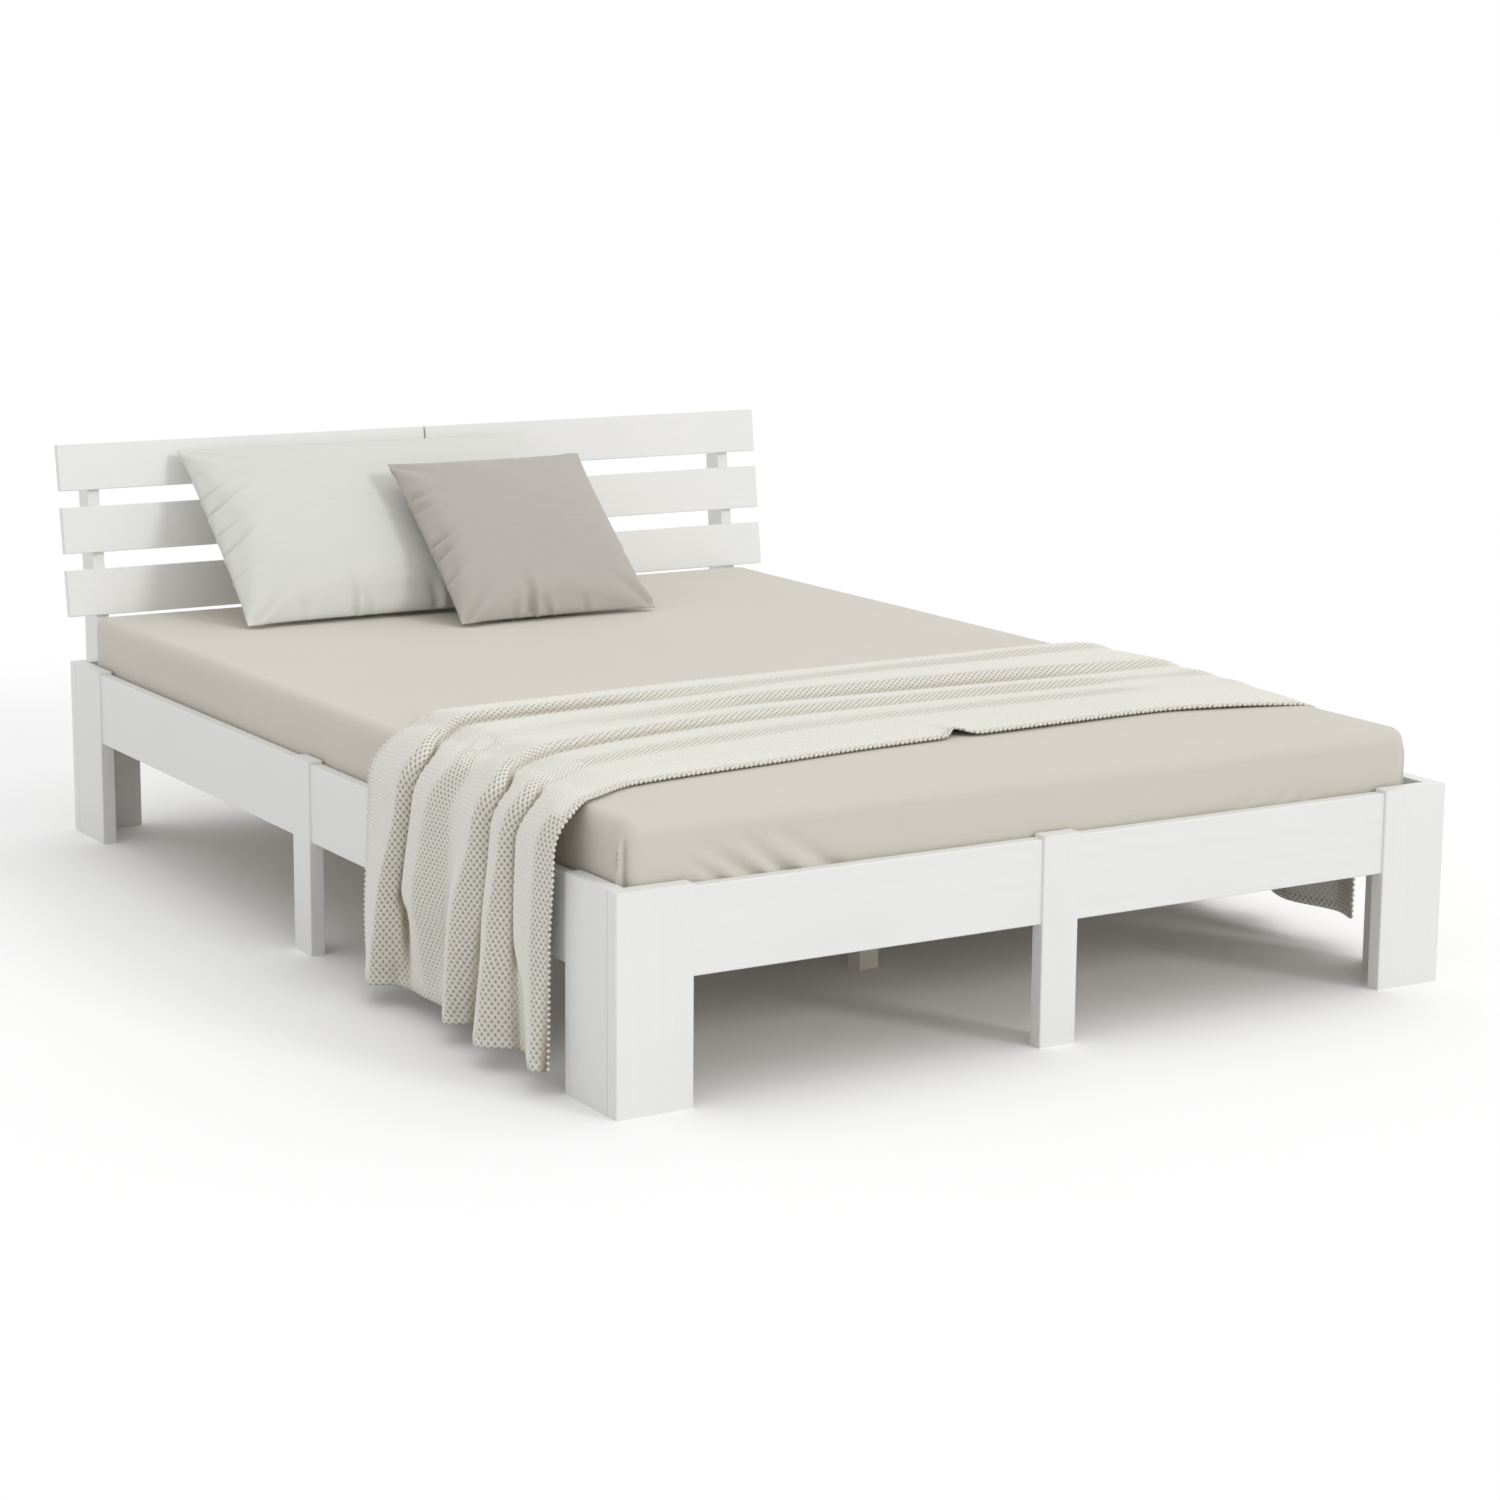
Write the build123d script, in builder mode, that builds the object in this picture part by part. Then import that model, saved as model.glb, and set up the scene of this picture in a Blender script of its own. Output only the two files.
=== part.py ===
from build123d import *
import math
import os

# A slatted wooden bed, made up with a mattress, a fitted sheet, a pillow, a cushion and a throw.
# Millimetres. The origin is on the floor under the middle of the bed, +Z is up,
# the foot end faces -Y and the headboard stands at +Y.

os.makedirs("parts", exist_ok=True)

# Overall bed
bed_width = 1460
bed_length = 2050
leg_height = 314
leg_board_width = 120
board_thickness = 25
mid_leg_width = 63
rail_height = 125
rail_drop = 5
rail_recess = 4
eased_edge = 2.5
cut_overrun = 1

# Battens that carry the slats
batten_width = 30
batten_height = 30
batten_lift = 2

# Centre beam, its legs and its steel
beam_width = 36
beam_height = 40
centre_leg_size = 36
centre_leg_spacing = 510
centre_leg_chamfer = 2
stud_radius = 3
stud_length = 50
stud_spacing = 18
stirrup_steel = 1.5
stirrup_depth = 35
stirrup_side_height = 28
stirrup_flange = 16
splice_steel = 2
splice_length = 130
splice_height = 26
splice_bolt_radius = 3
splice_bolt_head_radius = 5.5
splice_bolt_head_height = 4
splice_bolt_inset = 20
splice_bolt_gap = 26

# Steel inside the frame
bracket_steel = 2
bracket_length = 165
bracket_height = 30
bracket_lift = 29
mid_plate_length = 190

# Bed slats and the webbing that spaces them
slats_per_half = 7
slat_width = 70
slat_thickness = 17
slat_edge = 3
slat_side_gap = 5
slat_end_gap = 12
webbing_width = 25
webbing_thickness = 1
webbing_from_middle = 450

# Headboard
headboard_overhang = 4
headboard_lean = 7.8
headboard_board_height = 84
headboard_board_gap = 30
headboard_board_thickness = 15
headboard_seam = 4
headboard_above_legs = 72
first_board_lift = 10
post_thickness = 22
centre_post_width = 44
post_inset = 52
post_notch = 7
post_lower_depth = 57
post_top_depth = 40
post_top_drop = 6
post_knee_rise = 126
post_bolt_radius = 4
post_bolt_head_radius = 7.5
post_bolt_head_height = 5
post_bolt_low = 16
post_bolt_high = 22

# Mattress and fitted sheet
mattress_side_room = 30
mattress_end_room = 20
mattress_height = 164
mattress_corner = 48
mattress_edge = 26
mattress_from_corner = 5
sheet_thickness = 1.2
sheet_hem = 70
soft_gap = 0.3

# Pillow that leans on the headboard
pillow_width = 706
pillow_height = 436
pillow_half_thickness = 58
pillow_lean = 42
pillow_from_middle = 168
pillow_from_boards = 18
pillow_side_draw = 14
pillow_end_draw = 20

# Cushion that leans on the pillow
cushion_width = 410
cushion_height = 404
cushion_half_thickness = 46
cushion_lean = 41
cushion_turn = 0.5
cushion_from_middle = 27
cushion_draw = 12
cushion_rest_share = 1.01

# Crown of both: how far the outline draws in, and how it bows, from the seam up to the top
crown_level_shares = [0.0, 0.2, 0.4, 0.58, 0.74, 0.87, 0.96, 1.0]
crown_inset_shares = [0.0, 0.05, 0.105, 0.165, 0.235, 0.31, 0.38, 0.44]
crown_bow_shares = [0.0, 0.035, 0.055, 0.07, 0.078, 0.073, 0.055, 0.03]

# Throw across the foot half of the bed
throw_width = 600
throw_thickness = 5
throw_stand_off = 21
throw_turn_radius = 70
throw_hem_left = 34
throw_hem_right = 52
throw_top_wave = 2.5
throw_hang_wave = 13
throw_middle_from_foot = 585
throw_left_from_foot = 450
throw_right_from_foot = 520
throw_turn_steps = 4
throw_top_place_shares = [-0.5, 0.1, 0.6]
throw_fold_shares = [0.16, 0.13, 0.15, 0.12, 0.17, 0.13, 0.14]

# Heights and places that follow
half_width = bed_width / 2
half_length = bed_length / 2
rail_top = leg_height - rail_drop
rail_bottom = rail_top - rail_height
rail_thickness = board_thickness - rail_recess
inner_x = half_width - board_thickness
inner_y = half_length - board_thickness
batten_bottom = rail_bottom + batten_lift
batten_top = batten_bottom + batten_height
beam_bottom = batten_top - beam_height
slat_top = batten_top + slat_thickness
half_mid_leg = mid_leg_width / 2
batten_inner_x = inner_x - batten_width
batten_inner_y = inner_y - batten_width
bracket_bottom = batten_top + bracket_lift
bracket_middle = bracket_bottom + bracket_height / 2
slat_length = 2 * (inner_x - slat_side_gap)
mattress_width = 2 * inner_x - mattress_side_room
mattress_length = 2 * inner_y - mattress_end_room
outer_post_x = half_width - post_inset - post_thickness / 2
post_bolt_heights = (batten_top + post_bolt_low, leg_height - post_bolt_high)


def keep(piece, name):
    """Label a finished piece and write it."""
    piece.part.label = name
    export_step(piece.part, f"parts/{name}.step")


def board(x_from, x_to, y_from, y_to, z_from, z_to, eased_along, easing=eased_edge):
    """A plank between two corners, with its long edges eased."""
    with BuildPart() as plank:
        with BuildSketch(Plane.XY.offset(z_from)):
            with Locations(((x_from + x_to) / 2, (y_from + y_to) / 2)):
                Rectangle(abs(x_to - x_from), abs(y_to - y_from))
        extrude(amount=z_to - z_from)
        if easing:
            chamfer(plank.edges().filter_by(eased_along), length=easing / 2)
    return plank


def bored(plain, plane, places, radius, depth):
    """The same piece with straight holes sunk into it from a plane."""
    with BuildPart() as piece:
        add(plain.part)
        with BuildSketch(plane):
            with Locations(*places):
                Circle(radius)
        extrude(amount=depth, mode=Mode.SUBTRACT)
    return piece


def span(sign, near, far):
    """A from and to pair on the side that sign names, lowest first."""
    return sorted((sign * near, sign * far))


# Corner legs: a board that faces the end and a board behind it that faces the side
for y_sign, end_name in ((-1, "foot"), (1, "head")):
    for x_sign, side_name in ((-1, "left"), (1, "right")):
        face_x = span(x_sign, half_width - leg_board_width, half_width)
        face_y = span(y_sign, inner_y, half_length)
        face_board = board(*face_x, *face_y, 0, leg_height, Axis.Z)
        side_x = span(x_sign, inner_x, half_width)
        side_y = span(y_sign, inner_y - leg_board_width, inner_y)
        side_board = board(*side_x, *side_y, 0, leg_height, Axis.Z)
        if end_name == "head":
            post_x = x_sign * outer_post_x
            bolt_places = [(post_x, height) for height in post_bolt_heights]
            face_board = bored(
                face_board,
                Plane.XZ.offset(-half_length),
                bolt_places,
                post_bolt_radius,
                board_thickness,
            )
        keep(face_board, f"{end_name}_{side_name}_leg_face")
        keep(side_board, f"{end_name}_{side_name}_leg_side")

# Legs in the middle of each side and end
for x_sign, side_name in ((-1, "left"), (1, "right")):
    mid_leg = board(
        *span(x_sign, inner_x, half_width), -half_mid_leg, half_mid_leg, 0, leg_height, Axis.Z
    )
    keep(mid_leg, f"mid_leg_{side_name}")
for y_sign, end_name in ((-1, "foot"), (1, "head")):
    mid_leg = board(
        -half_mid_leg, half_mid_leg, *span(y_sign, inner_y, half_length), 0, leg_height, Axis.Z
    )
    if end_name == "head":
        bolt_places = [(0, height) for height in post_bolt_heights]
        mid_leg = bored(
            mid_leg, Plane.XZ.offset(-half_length), bolt_places, post_bolt_radius, board_thickness
        )
    keep(mid_leg, f"mid_leg_{end_name}")

# Rails: each side and end has two halves that meet the middle leg
for x_sign, side_name in ((-1, "left"), (1, "right")):
    for y_sign, end_name in ((-1, "foot"), (1, "head")):
        rail = board(
            *span(x_sign, inner_x, inner_x + rail_thickness),
            *span(y_sign, half_mid_leg, inner_y - leg_board_width),
            rail_bottom,
            rail_top,
            Axis.Y,
        )
        keep(rail, f"side_rail_{side_name}_{end_name}")
for y_sign, end_name in ((-1, "foot"), (1, "head")):
    for x_sign, side_name in ((-1, "left"), (1, "right")):
        rail = board(
            *span(x_sign, half_mid_leg, half_width - leg_board_width),
            *span(y_sign, inner_y, inner_y + rail_thickness),
            rail_bottom,
            rail_top,
            Axis.X,
        )
        keep(rail, f"end_rail_{end_name}_{side_name}")

# Battens screwed inside the rails, which tie legs and rails and carry the slats
for x_sign, side_name in ((-1, "left"), (1, "right")):
    for y_sign, end_name in ((-1, "foot"), (1, "head")):
        batten = board(
            *span(x_sign, batten_inner_x, inner_x),
            *span(y_sign, 0, batten_inner_y),
            batten_bottom,
            batten_top,
            Axis.Y,
        )
        keep(batten, f"side_batten_{side_name}_{end_name}")
for y_sign, end_name in ((-1, "foot"), (1, "head")):
    for x_sign, side_name in ((-1, "left"), (1, "right")):
        batten = board(
            *span(x_sign, 0, inner_x),
            *span(y_sign, batten_inner_y, inner_y),
            batten_bottom,
            batten_top,
            Axis.X,
        )
        keep(batten, f"end_batten_{end_name}_{side_name}")

# Centre beam in two halves, bored for the leg studs and the splice bolts
centre_leg_places = [-centre_leg_spacing, 0, centre_leg_spacing]
stud_places = [
    place + side * stud_spacing / 2 for place in centre_leg_places for side in (-1, 1)
]
splice_bolt_places = [
    side * (splice_length / 2 - splice_bolt_inset - step * splice_bolt_gap)
    for side in (-1, 1)
    for step in (0, 1)
]
splice_middle = beam_bottom + beam_height / 2
for y_sign, end_name in ((-1, "foot"), (1, "head")):
    beam_y = span(y_sign, 0, batten_inner_y)
    plain_beam = board(
        -beam_width / 2, beam_width / 2, *beam_y, beam_bottom, batten_top, Axis.Y
    )
    studs_here = [(0, y) for y in stud_places if beam_y[0] < y < beam_y[1]]
    beam = bored(
        plain_beam, Plane.XY.offset(beam_bottom), studs_here, stud_radius, stud_length / 2
    )
    bolts_here = [(y, splice_middle) for y in splice_bolt_places if beam_y[0] < y < beam_y[1]]
    beam = bored(
        beam, Plane.YZ.offset(-beam_width / 2), bolts_here, splice_bolt_radius, beam_width
    )
    keep(beam, f"centre_beam_{end_name}")

# Centre legs under the beam, each with two studs up into it
for place, leg_name in zip(centre_leg_places, ("foot", "middle", "head")):
    plain_leg = board(
        -centre_leg_size / 2,
        centre_leg_size / 2,
        place - centre_leg_size / 2,
        place + centre_leg_size / 2,
        0,
        beam_bottom,
        Axis.Z,
        easing=centre_leg_chamfer,
    )
    studs_here = [(0, place - stud_spacing / 2), (0, place + stud_spacing / 2)]
    centre_leg = bored(
        plain_leg, Plane.XY.offset(beam_bottom), studs_here, stud_radius, -stud_length / 2
    )
    keep(centre_leg, f"centre_leg_{leg_name}")

with BuildPart(Plane.XY.offset(beam_bottom)) as leg_studs:
    with Locations(*[(0, y) for y in stud_places]):
        Cylinder(stud_radius, stud_length)
keep(leg_studs, "centre_leg_studs")

# Stirrups that hang the beam ends on the end battens
with BuildPart() as stirrups:
    for y_sign in (-1, 1):
        cup_width = beam_width + 2 * stirrup_steel
        cup_height = stirrup_side_height + stirrup_steel
        cup_middle = beam_bottom - stirrup_steel + cup_height / 2
        with BuildSketch(Plane.XZ.offset(-y_sign * batten_inner_y)):
            with Locations((0, cup_middle)):
                Rectangle(cup_width, cup_height)
            with Locations((0, cup_middle + stirrup_steel / 2)):
                Rectangle(beam_width, stirrup_side_height, mode=Mode.SUBTRACT)
        extrude(amount=y_sign * stirrup_depth)
        with BuildSketch(Plane.XZ.offset(-y_sign * batten_inner_y)):
            with Locations((0, cup_middle)):
                Rectangle(cup_width + 2 * stirrup_flange, cup_height)
            with Locations((0, cup_middle + stirrup_steel / 2)):
                Rectangle(beam_width, stirrup_side_height, mode=Mode.SUBTRACT)
        extrude(amount=y_sign * stirrup_steel)
keep(stirrups, "beam_stirrups")

# Splice plates on both sides of the beam, and their bolts
with BuildPart() as splice_plates:
    for x_sign in (-1, 1):
        plate_from = span(x_sign, beam_width / 2, beam_width / 2 + splice_steel)[0]
        with BuildSketch(Plane.YZ.offset(plate_from)):
            with Locations((0, splice_middle)):
                Rectangle(splice_length, splice_height)
            with Locations(*[(y, splice_middle) for y in splice_bolt_places]):
                Circle(splice_bolt_radius, mode=Mode.SUBTRACT)
        extrude(amount=splice_steel)
keep(splice_plates, "beam_splice_plates")

splice_half = beam_width / 2 + splice_steel
with BuildPart() as splice_bolts:
    with BuildSketch(Plane.YZ.offset(-splice_half)):
        with Locations(*[(y, splice_middle) for y in splice_bolt_places]):
            Circle(splice_bolt_radius)
    extrude(amount=2 * splice_half)
    for head_from in (-splice_half - splice_bolt_head_height, splice_half):
        with BuildSketch(Plane.YZ.offset(head_from)):
            with Locations(*[(y, splice_middle) for y in splice_bolt_places]):
                RegularPolygon(splice_bolt_head_radius, 6)
        extrude(amount=splice_bolt_head_height)
keep(splice_bolts, "beam_splice_bolts")

# Angle brackets inside the corners, from rail to rail
with BuildPart() as corner_brackets:
    for x_sign in (-1, 1):
        for y_sign in (-1, 1):
            along_x = span(x_sign, inner_x - bracket_length, inner_x)
            along_y = span(y_sign, inner_y - bracket_length, inner_y)
            thin_x = span(x_sign, inner_x - bracket_steel, inner_x)
            thin_y = span(y_sign, inner_y - bracket_steel, inner_y)
            with BuildSketch(Plane.XY.offset(bracket_bottom)):
                for x_pair, y_pair in ((along_x, thin_y), (thin_x, along_y)):
                    with Locations((sum(x_pair) / 2, sum(y_pair) / 2)):
                        Rectangle(x_pair[1] - x_pair[0], y_pair[1] - y_pair[0])
            extrude(amount=bracket_height)
keep(corner_brackets, "corner_brackets")

# Flat plates inside the middle legs, from rail half to rail half
with BuildPart() as mid_plates:
    for y_sign in (-1, 1):
        with BuildSketch(Plane.XZ.offset(-y_sign * inner_y)):
            with Locations((0, bracket_middle)):
                Rectangle(mid_plate_length, bracket_height)
        extrude(amount=y_sign * bracket_steel)
    for x_sign in (-1, 1):
        with BuildSketch(Plane.YZ.offset(x_sign * inner_x)):
            with Locations((0, bracket_middle)):
                Rectangle(mid_plate_length, bracket_height)
        extrude(amount=-x_sign * bracket_steel)
keep(mid_plates, "mid_leg_plates")

# Bed slats, in two halves that roll up on their webbing
slat_run = inner_y - slat_end_gap
slat_pitch = (slat_run - slat_width / 2) / (slats_per_half - 0.5)
for y_sign, end_name in ((-1, "foot"), (1, "head")):
    with BuildPart() as bed_slats:
        for index in range(slats_per_half):
            slat_y = y_sign * (index + 0.5) * slat_pitch
            with BuildSketch(Plane.YZ.offset(-slat_length / 2)):
                with Locations((slat_y, batten_top + slat_thickness / 2)):
                    Rectangle(slat_width, slat_thickness)
            extrude(amount=slat_length)
        chamfer(bed_slats.edges().filter_by(Axis.X), length=slat_edge / 2)
    keep(bed_slats, f"bed_slats_{end_name}")
with BuildPart() as webbing:
    for x_sign in (-1, 1):
        with BuildSketch(Plane.XY.offset(batten_top - webbing_thickness)):
            with Locations((x_sign * webbing_from_middle, 0)):
                Rectangle(webbing_width, 2 * (slats_per_half - 0.5) * slat_pitch)
        extrude(amount=webbing_thickness)
keep(webbing, "slat_webbing")

# Headboard: the line that the boards lie on leans back from a knee above the legs
lean = math.radians(headboard_lean)
knee_y = half_length - post_notch
knee_z = leg_height + headboard_above_legs
board_plane = Plane(
    origin=(0, knee_y, knee_z), x_dir=(1, 0, 0), z_dir=(0, -math.cos(lean), math.sin(lean))
)
board_places = [
    first_board_lift + row * (headboard_board_height + headboard_board_gap) for row in range(3)
]
headboard_reach = board_places[-1] + headboard_board_height
half_headboard = half_width + headboard_overhang

for place, row_name in zip(board_places, ("low", "middle", "top")):
    for x_sign, side_name in ((-1, "left"), (1, "right")):
        board_x = span(x_sign, headboard_seam / 2, half_headboard)
        board_middle = place + headboard_board_height / 2
        with BuildPart() as headboard_board:
            with BuildSketch(board_plane):
                with Locations(((board_x[0] + board_x[1]) / 2, board_middle)):
                    Rectangle(board_x[1] - board_x[0], headboard_board_height)
            extrude(amount=headboard_board_thickness)
            chamfer(headboard_board.edges().filter_by(Axis.X), length=eased_edge / 2)
        keep(headboard_board, f"headboard_board_{row_name}_{side_name}")


def on_lean(reach, behind):
    """A point of the post's side view: so far up the leaning line, and so far behind it."""
    return (
        knee_y + reach * math.sin(lean) + behind * math.cos(lean),
        knee_z + reach * math.cos(lean) - behind * math.sin(lean),
    )


def headboard_post(x_middle, width):
    """A post that stands behind the head end, is notched over it and leans back above."""
    post_reach = headboard_reach - post_top_drop
    post_back_y = half_length + post_lower_depth
    with BuildPart() as post:
        with BuildSketch(Plane.YZ.offset(x_middle - width / 2)):
            with BuildLine():
                Polyline(
                    (half_length, batten_bottom),
                    (half_length, leg_height),
                    (knee_y, leg_height),
                    (knee_y, knee_z),
                    on_lean(post_reach, 0),
                    on_lean(post_reach, post_top_depth),
                    (post_back_y, leg_height + post_knee_rise),
                    (post_back_y, batten_bottom),
                    close=True,
                )
            make_face()
        extrude(amount=width)
        with BuildSketch(Plane.XZ.offset(-half_length)):
            with Locations(*[(x_middle, height) for height in post_bolt_heights]):
                Circle(post_bolt_radius)
        extrude(amount=-post_lower_depth, mode=Mode.SUBTRACT)
    return post


left_post = headboard_post(-outer_post_x, post_thickness)
keep(left_post, "headboard_post_left")
right_post = headboard_post(outer_post_x, post_thickness)
keep(right_post, "headboard_post_right")
centre_post = headboard_post(0, centre_post_width)
keep(centre_post, "headboard_post_centre")

# Bolts through the posts into the head end
bolt_length = board_thickness + post_lower_depth
bolt_places = [(x, z) for x in (-outer_post_x, 0, outer_post_x) for z in post_bolt_heights]
with BuildPart() as post_bolts:
    with BuildSketch(Plane.XZ.offset(-inner_y)):
        with Locations(*bolt_places):
            Circle(post_bolt_radius)
    extrude(amount=-bolt_length)
    with BuildSketch(Plane.XZ.offset(-half_length - post_lower_depth)):
        with Locations(*bolt_places):
            Circle(post_bolt_head_radius)
    extrude(amount=-post_bolt_head_height)
    with BuildSketch(Plane.XZ.offset(-inner_y)):
        with Locations(*bolt_places):
            RegularPolygon(post_bolt_head_radius, 6)
    extrude(amount=post_bolt_head_height)
keep(post_bolts, "headboard_bolts")

# Mattress, pushed into the left corner of the foot end
sheet_bottom = slat_top + soft_gap
mattress_bottom = sheet_bottom + sheet_thickness + soft_gap
mattress_top = mattress_bottom + mattress_height
sheet_top = mattress_top + soft_gap + sheet_thickness
mattress_x = -inner_x + mattress_from_corner + mattress_width / 2
mattress_y = -inner_y + mattress_from_corner + mattress_length / 2


def rounded_pad(outset):
    """The mattress's shape, grown all round by an outset."""
    with BuildPart() as pad:
        with BuildSketch(Plane.XY.offset(mattress_bottom - outset)):
            with Locations((mattress_x, mattress_y)):
                RectangleRounded(
                    mattress_width + 2 * outset,
                    mattress_length + 2 * outset,
                    mattress_corner + outset,
                )
        extrude(amount=mattress_height + 2 * outset)
        fillet(pad.faces().sort_by(Axis.Z)[-1].edges(), radius=mattress_edge + outset)
        fillet(pad.faces().sort_by(Axis.Z)[0].edges(), radius=mattress_edge + outset)
    return pad


mattress = rounded_pad(0)
keep(mattress, "mattress")

with BuildPart() as fitted_sheet:
    add(rounded_pad(soft_gap + sheet_thickness).part)
    add(rounded_pad(soft_gap).part, mode=Mode.SUBTRACT)
    with BuildSketch(Plane.XY.offset(sheet_bottom - cut_overrun)):
        with Locations((mattress_x, mattress_y)):
            RectangleRounded(
                mattress_width - 2 * sheet_hem,
                mattress_length - 2 * sheet_hem,
                mattress_corner,
            )
    extrude(amount=2 * cut_overrun + sheet_thickness, mode=Mode.SUBTRACT)
keep(fitted_sheet, "fitted_sheet")


def crown_face(plane, width, height, level, side_draw, end_draw, thickness):
    """One outline of a stuffed form: drawn in between the corners at the seam, full above it."""
    level_share = crown_level_shares[level]
    inset_share = crown_inset_shares[level]
    bow_share = crown_bow_shares[level]
    smaller = min(width, height)
    half_x = width / 2 - inset_share * smaller
    half_y = height / 2 - inset_share * smaller
    bow_x = bow_share * smaller - (1 - level_share) * side_draw
    bow_y = bow_share * smaller - (1 - level_share) * end_draw
    with BuildSketch(plane.offset(level_share * thickness)) as outline:
        with BuildLine():
            ThreePointArc((-half_x, -half_y), (0, -half_y - bow_x), (half_x, -half_y))
            ThreePointArc((half_x, -half_y), (half_x + bow_y, 0), (half_x, half_y))
            ThreePointArc((half_x, half_y), (0, half_y + bow_x), (-half_x, half_y))
            ThreePointArc((-half_x, half_y), (-half_x - bow_y, 0), (-half_x, -half_y))
        make_face()
    return outline


def stuffed_form(plane, width, height, half_thickness, side_draw, end_draw):
    """A pillow: two crowned halves that meet in a seam, pressed flat where it rests."""
    with BuildPart() as form:
        for side in (-1, 1):
            for level in range(len(crown_level_shares)):
                face = crown_face(
                    plane, width, height, level, side_draw, end_draw, side * half_thickness
                )
                add(face.sketch)
            loft(ruled=True)
        split(bisect_by=Plane.XY.offset(sheet_top + soft_gap), keep=Keep.TOP)
        split(
            bisect_by=board_plane.offset(headboard_board_thickness + soft_gap), keep=Keep.TOP
        )
    return form


# Pillow: its foot is on the sheet and its upper edge on the boards
pillow_tilt = math.radians(pillow_lean)
pillow_rise = pillow_height * math.sin(pillow_tilt)
pillow_run = pillow_height * math.cos(pillow_tilt)
pillow_foot_z = sheet_top + soft_gap
board_front_y = knee_y - headboard_board_thickness / math.cos(lean)
pillow_top_y = board_front_y + (pillow_foot_z + pillow_rise - knee_z) * math.tan(lean)
pillow_foot_y = pillow_top_y - pillow_run - pillow_from_boards
pillow_plane = Plane(
    origin=(
        -pillow_from_middle,
        pillow_foot_y + pillow_run / 2,
        pillow_foot_z + pillow_rise / 2,
    ),
    x_dir=(1, 0, 0),
    z_dir=(0, -math.sin(pillow_tilt), math.cos(pillow_tilt)),
)
pillow = stuffed_form(
    pillow_plane,
    pillow_width,
    pillow_height,
    pillow_half_thickness,
    pillow_side_draw,
    pillow_end_draw,
)
keep(pillow, "pillow_large")

# Cushion: it stands in front of the pillow, a little turned
cushion_tilt = math.radians(cushion_lean)
cushion_turned = math.radians(cushion_turn)
cushion_rise = cushion_height * math.sin(cushion_tilt)
cushion_run = cushion_height * math.cos(cushion_tilt)
rest_depth = (
    cushion_rest_share
    * (pillow_half_thickness + cushion_half_thickness)
    / math.sin(cushion_tilt)
    / math.cos(cushion_turned)
)
cushion_foot_y = pillow_foot_y - rest_depth
cushion_plane = Plane(
    origin=(
        cushion_from_middle - cushion_run / 2 * math.sin(cushion_turned),
        cushion_foot_y + cushion_run / 2 * math.cos(cushion_turned),
        pillow_foot_z + cushion_rise / 2,
    ),
    x_dir=(math.cos(cushion_turned), math.sin(cushion_turned), 0),
    z_dir=(
        math.sin(cushion_tilt) * math.sin(cushion_turned),
        -math.sin(cushion_tilt) * math.cos(cushion_turned),
        math.cos(cushion_tilt),
    ),
)
cushion = stuffed_form(
    cushion_plane,
    cushion_width,
    cushion_height,
    cushion_half_thickness,
    cushion_draw,
    cushion_draw,
)
keep(cushion, "cushion_small")

# Throw: a folded strip that goes over the mattress and hangs outside both sides
throw_base_z = sheet_top + soft_gap + throw_thickness / 2 + throw_top_wave
throw_side_x = half_width + throw_stand_off
turn_middle_x = throw_side_x - throw_turn_radius
turn_middle_z = throw_base_z - throw_turn_radius
throw_middle_y = throw_middle_from_foot - half_length
throw_left_y = throw_left_from_foot - half_length
throw_right_y = throw_right_from_foot - half_length


def throw_section(place_x, place_z, heading, middle_y, wave):
    """A cross-section of the throw: a wavy strip square to the way that the cloth runs."""
    plane = Plane(
        origin=(place_x, middle_y, place_z),
        x_dir=(0, 1, 0),
        z_dir=(math.cos(heading), 0, math.sin(heading)),
    )
    crossings = [-throw_width / 2]
    for fold_share in throw_fold_shares:
        crossings.append(crossings[-1] + fold_share * throw_width)
    half = throw_thickness / 2
    with BuildSketch(plane) as section:
        with BuildLine():
            for level in (-half, half):
                for index in range(len(throw_fold_shares)):
                    crest = wave * (1 if index % 2 else -1)
                    start = crossings[index]
                    end = crossings[index + 1]
                    ThreePointArc(
                        (start, level), ((start + end) / 2, level + crest), (end, level)
                    )
            for edge_y in (crossings[0], crossings[-1]):
                Line((edge_y, -half), (edge_y, half))
        make_face()
    return section


def throw_hang(x_sign, height):
    """A station on the straight hang outside one side, as high as it says."""
    outer_y = throw_left_y if x_sign < 0 else throw_right_y
    heading = -x_sign * math.pi / 2
    return (x_sign * throw_side_x, height, heading, outer_y, throw_hang_wave)


def throw_turn(x_sign, step):
    """A station on the turn over one long edge, from the hang at step 0 to the top."""
    flat_share = step / throw_turn_steps
    turned = math.pi / 2 * flat_share
    outer_y = throw_left_y if x_sign < 0 else throw_right_y
    return (
        x_sign * (turn_middle_x + throw_turn_radius * math.cos(turned)),
        turn_middle_z + throw_turn_radius * math.sin(turned),
        x_sign * (turned - math.pi / 2),
        outer_y + (throw_middle_y - outer_y) * flat_share / 2,
        throw_top_wave + (throw_hang_wave - throw_top_wave) * (1 - flat_share),
    )


def throw_stations():
    """Where the sections stand, from the left hem over the bed to the right hem."""
    stations = [
        throw_hang(-1, throw_hem_left),
        throw_hang(-1, (throw_hem_left + turn_middle_z) / 2),
    ]
    for step in range(throw_turn_steps + 1):
        stations.append(throw_turn(-1, step))
    for place_share in throw_top_place_shares:
        place_x = place_share * turn_middle_x
        stations.append((place_x, throw_base_z, 0, throw_middle_y, throw_top_wave))
    for step in reversed(range(throw_turn_steps + 1)):
        stations.append(throw_turn(1, step))
    stations.append(throw_hang(1, (throw_hem_right + turn_middle_z) / 2))
    stations.append(throw_hang(1, throw_hem_right))
    return stations


with BuildPart() as throw:
    for station in throw_stations():
        add(throw_section(*station).sketch)
    loft(ruled=True)
keep(throw, "throw")
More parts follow.
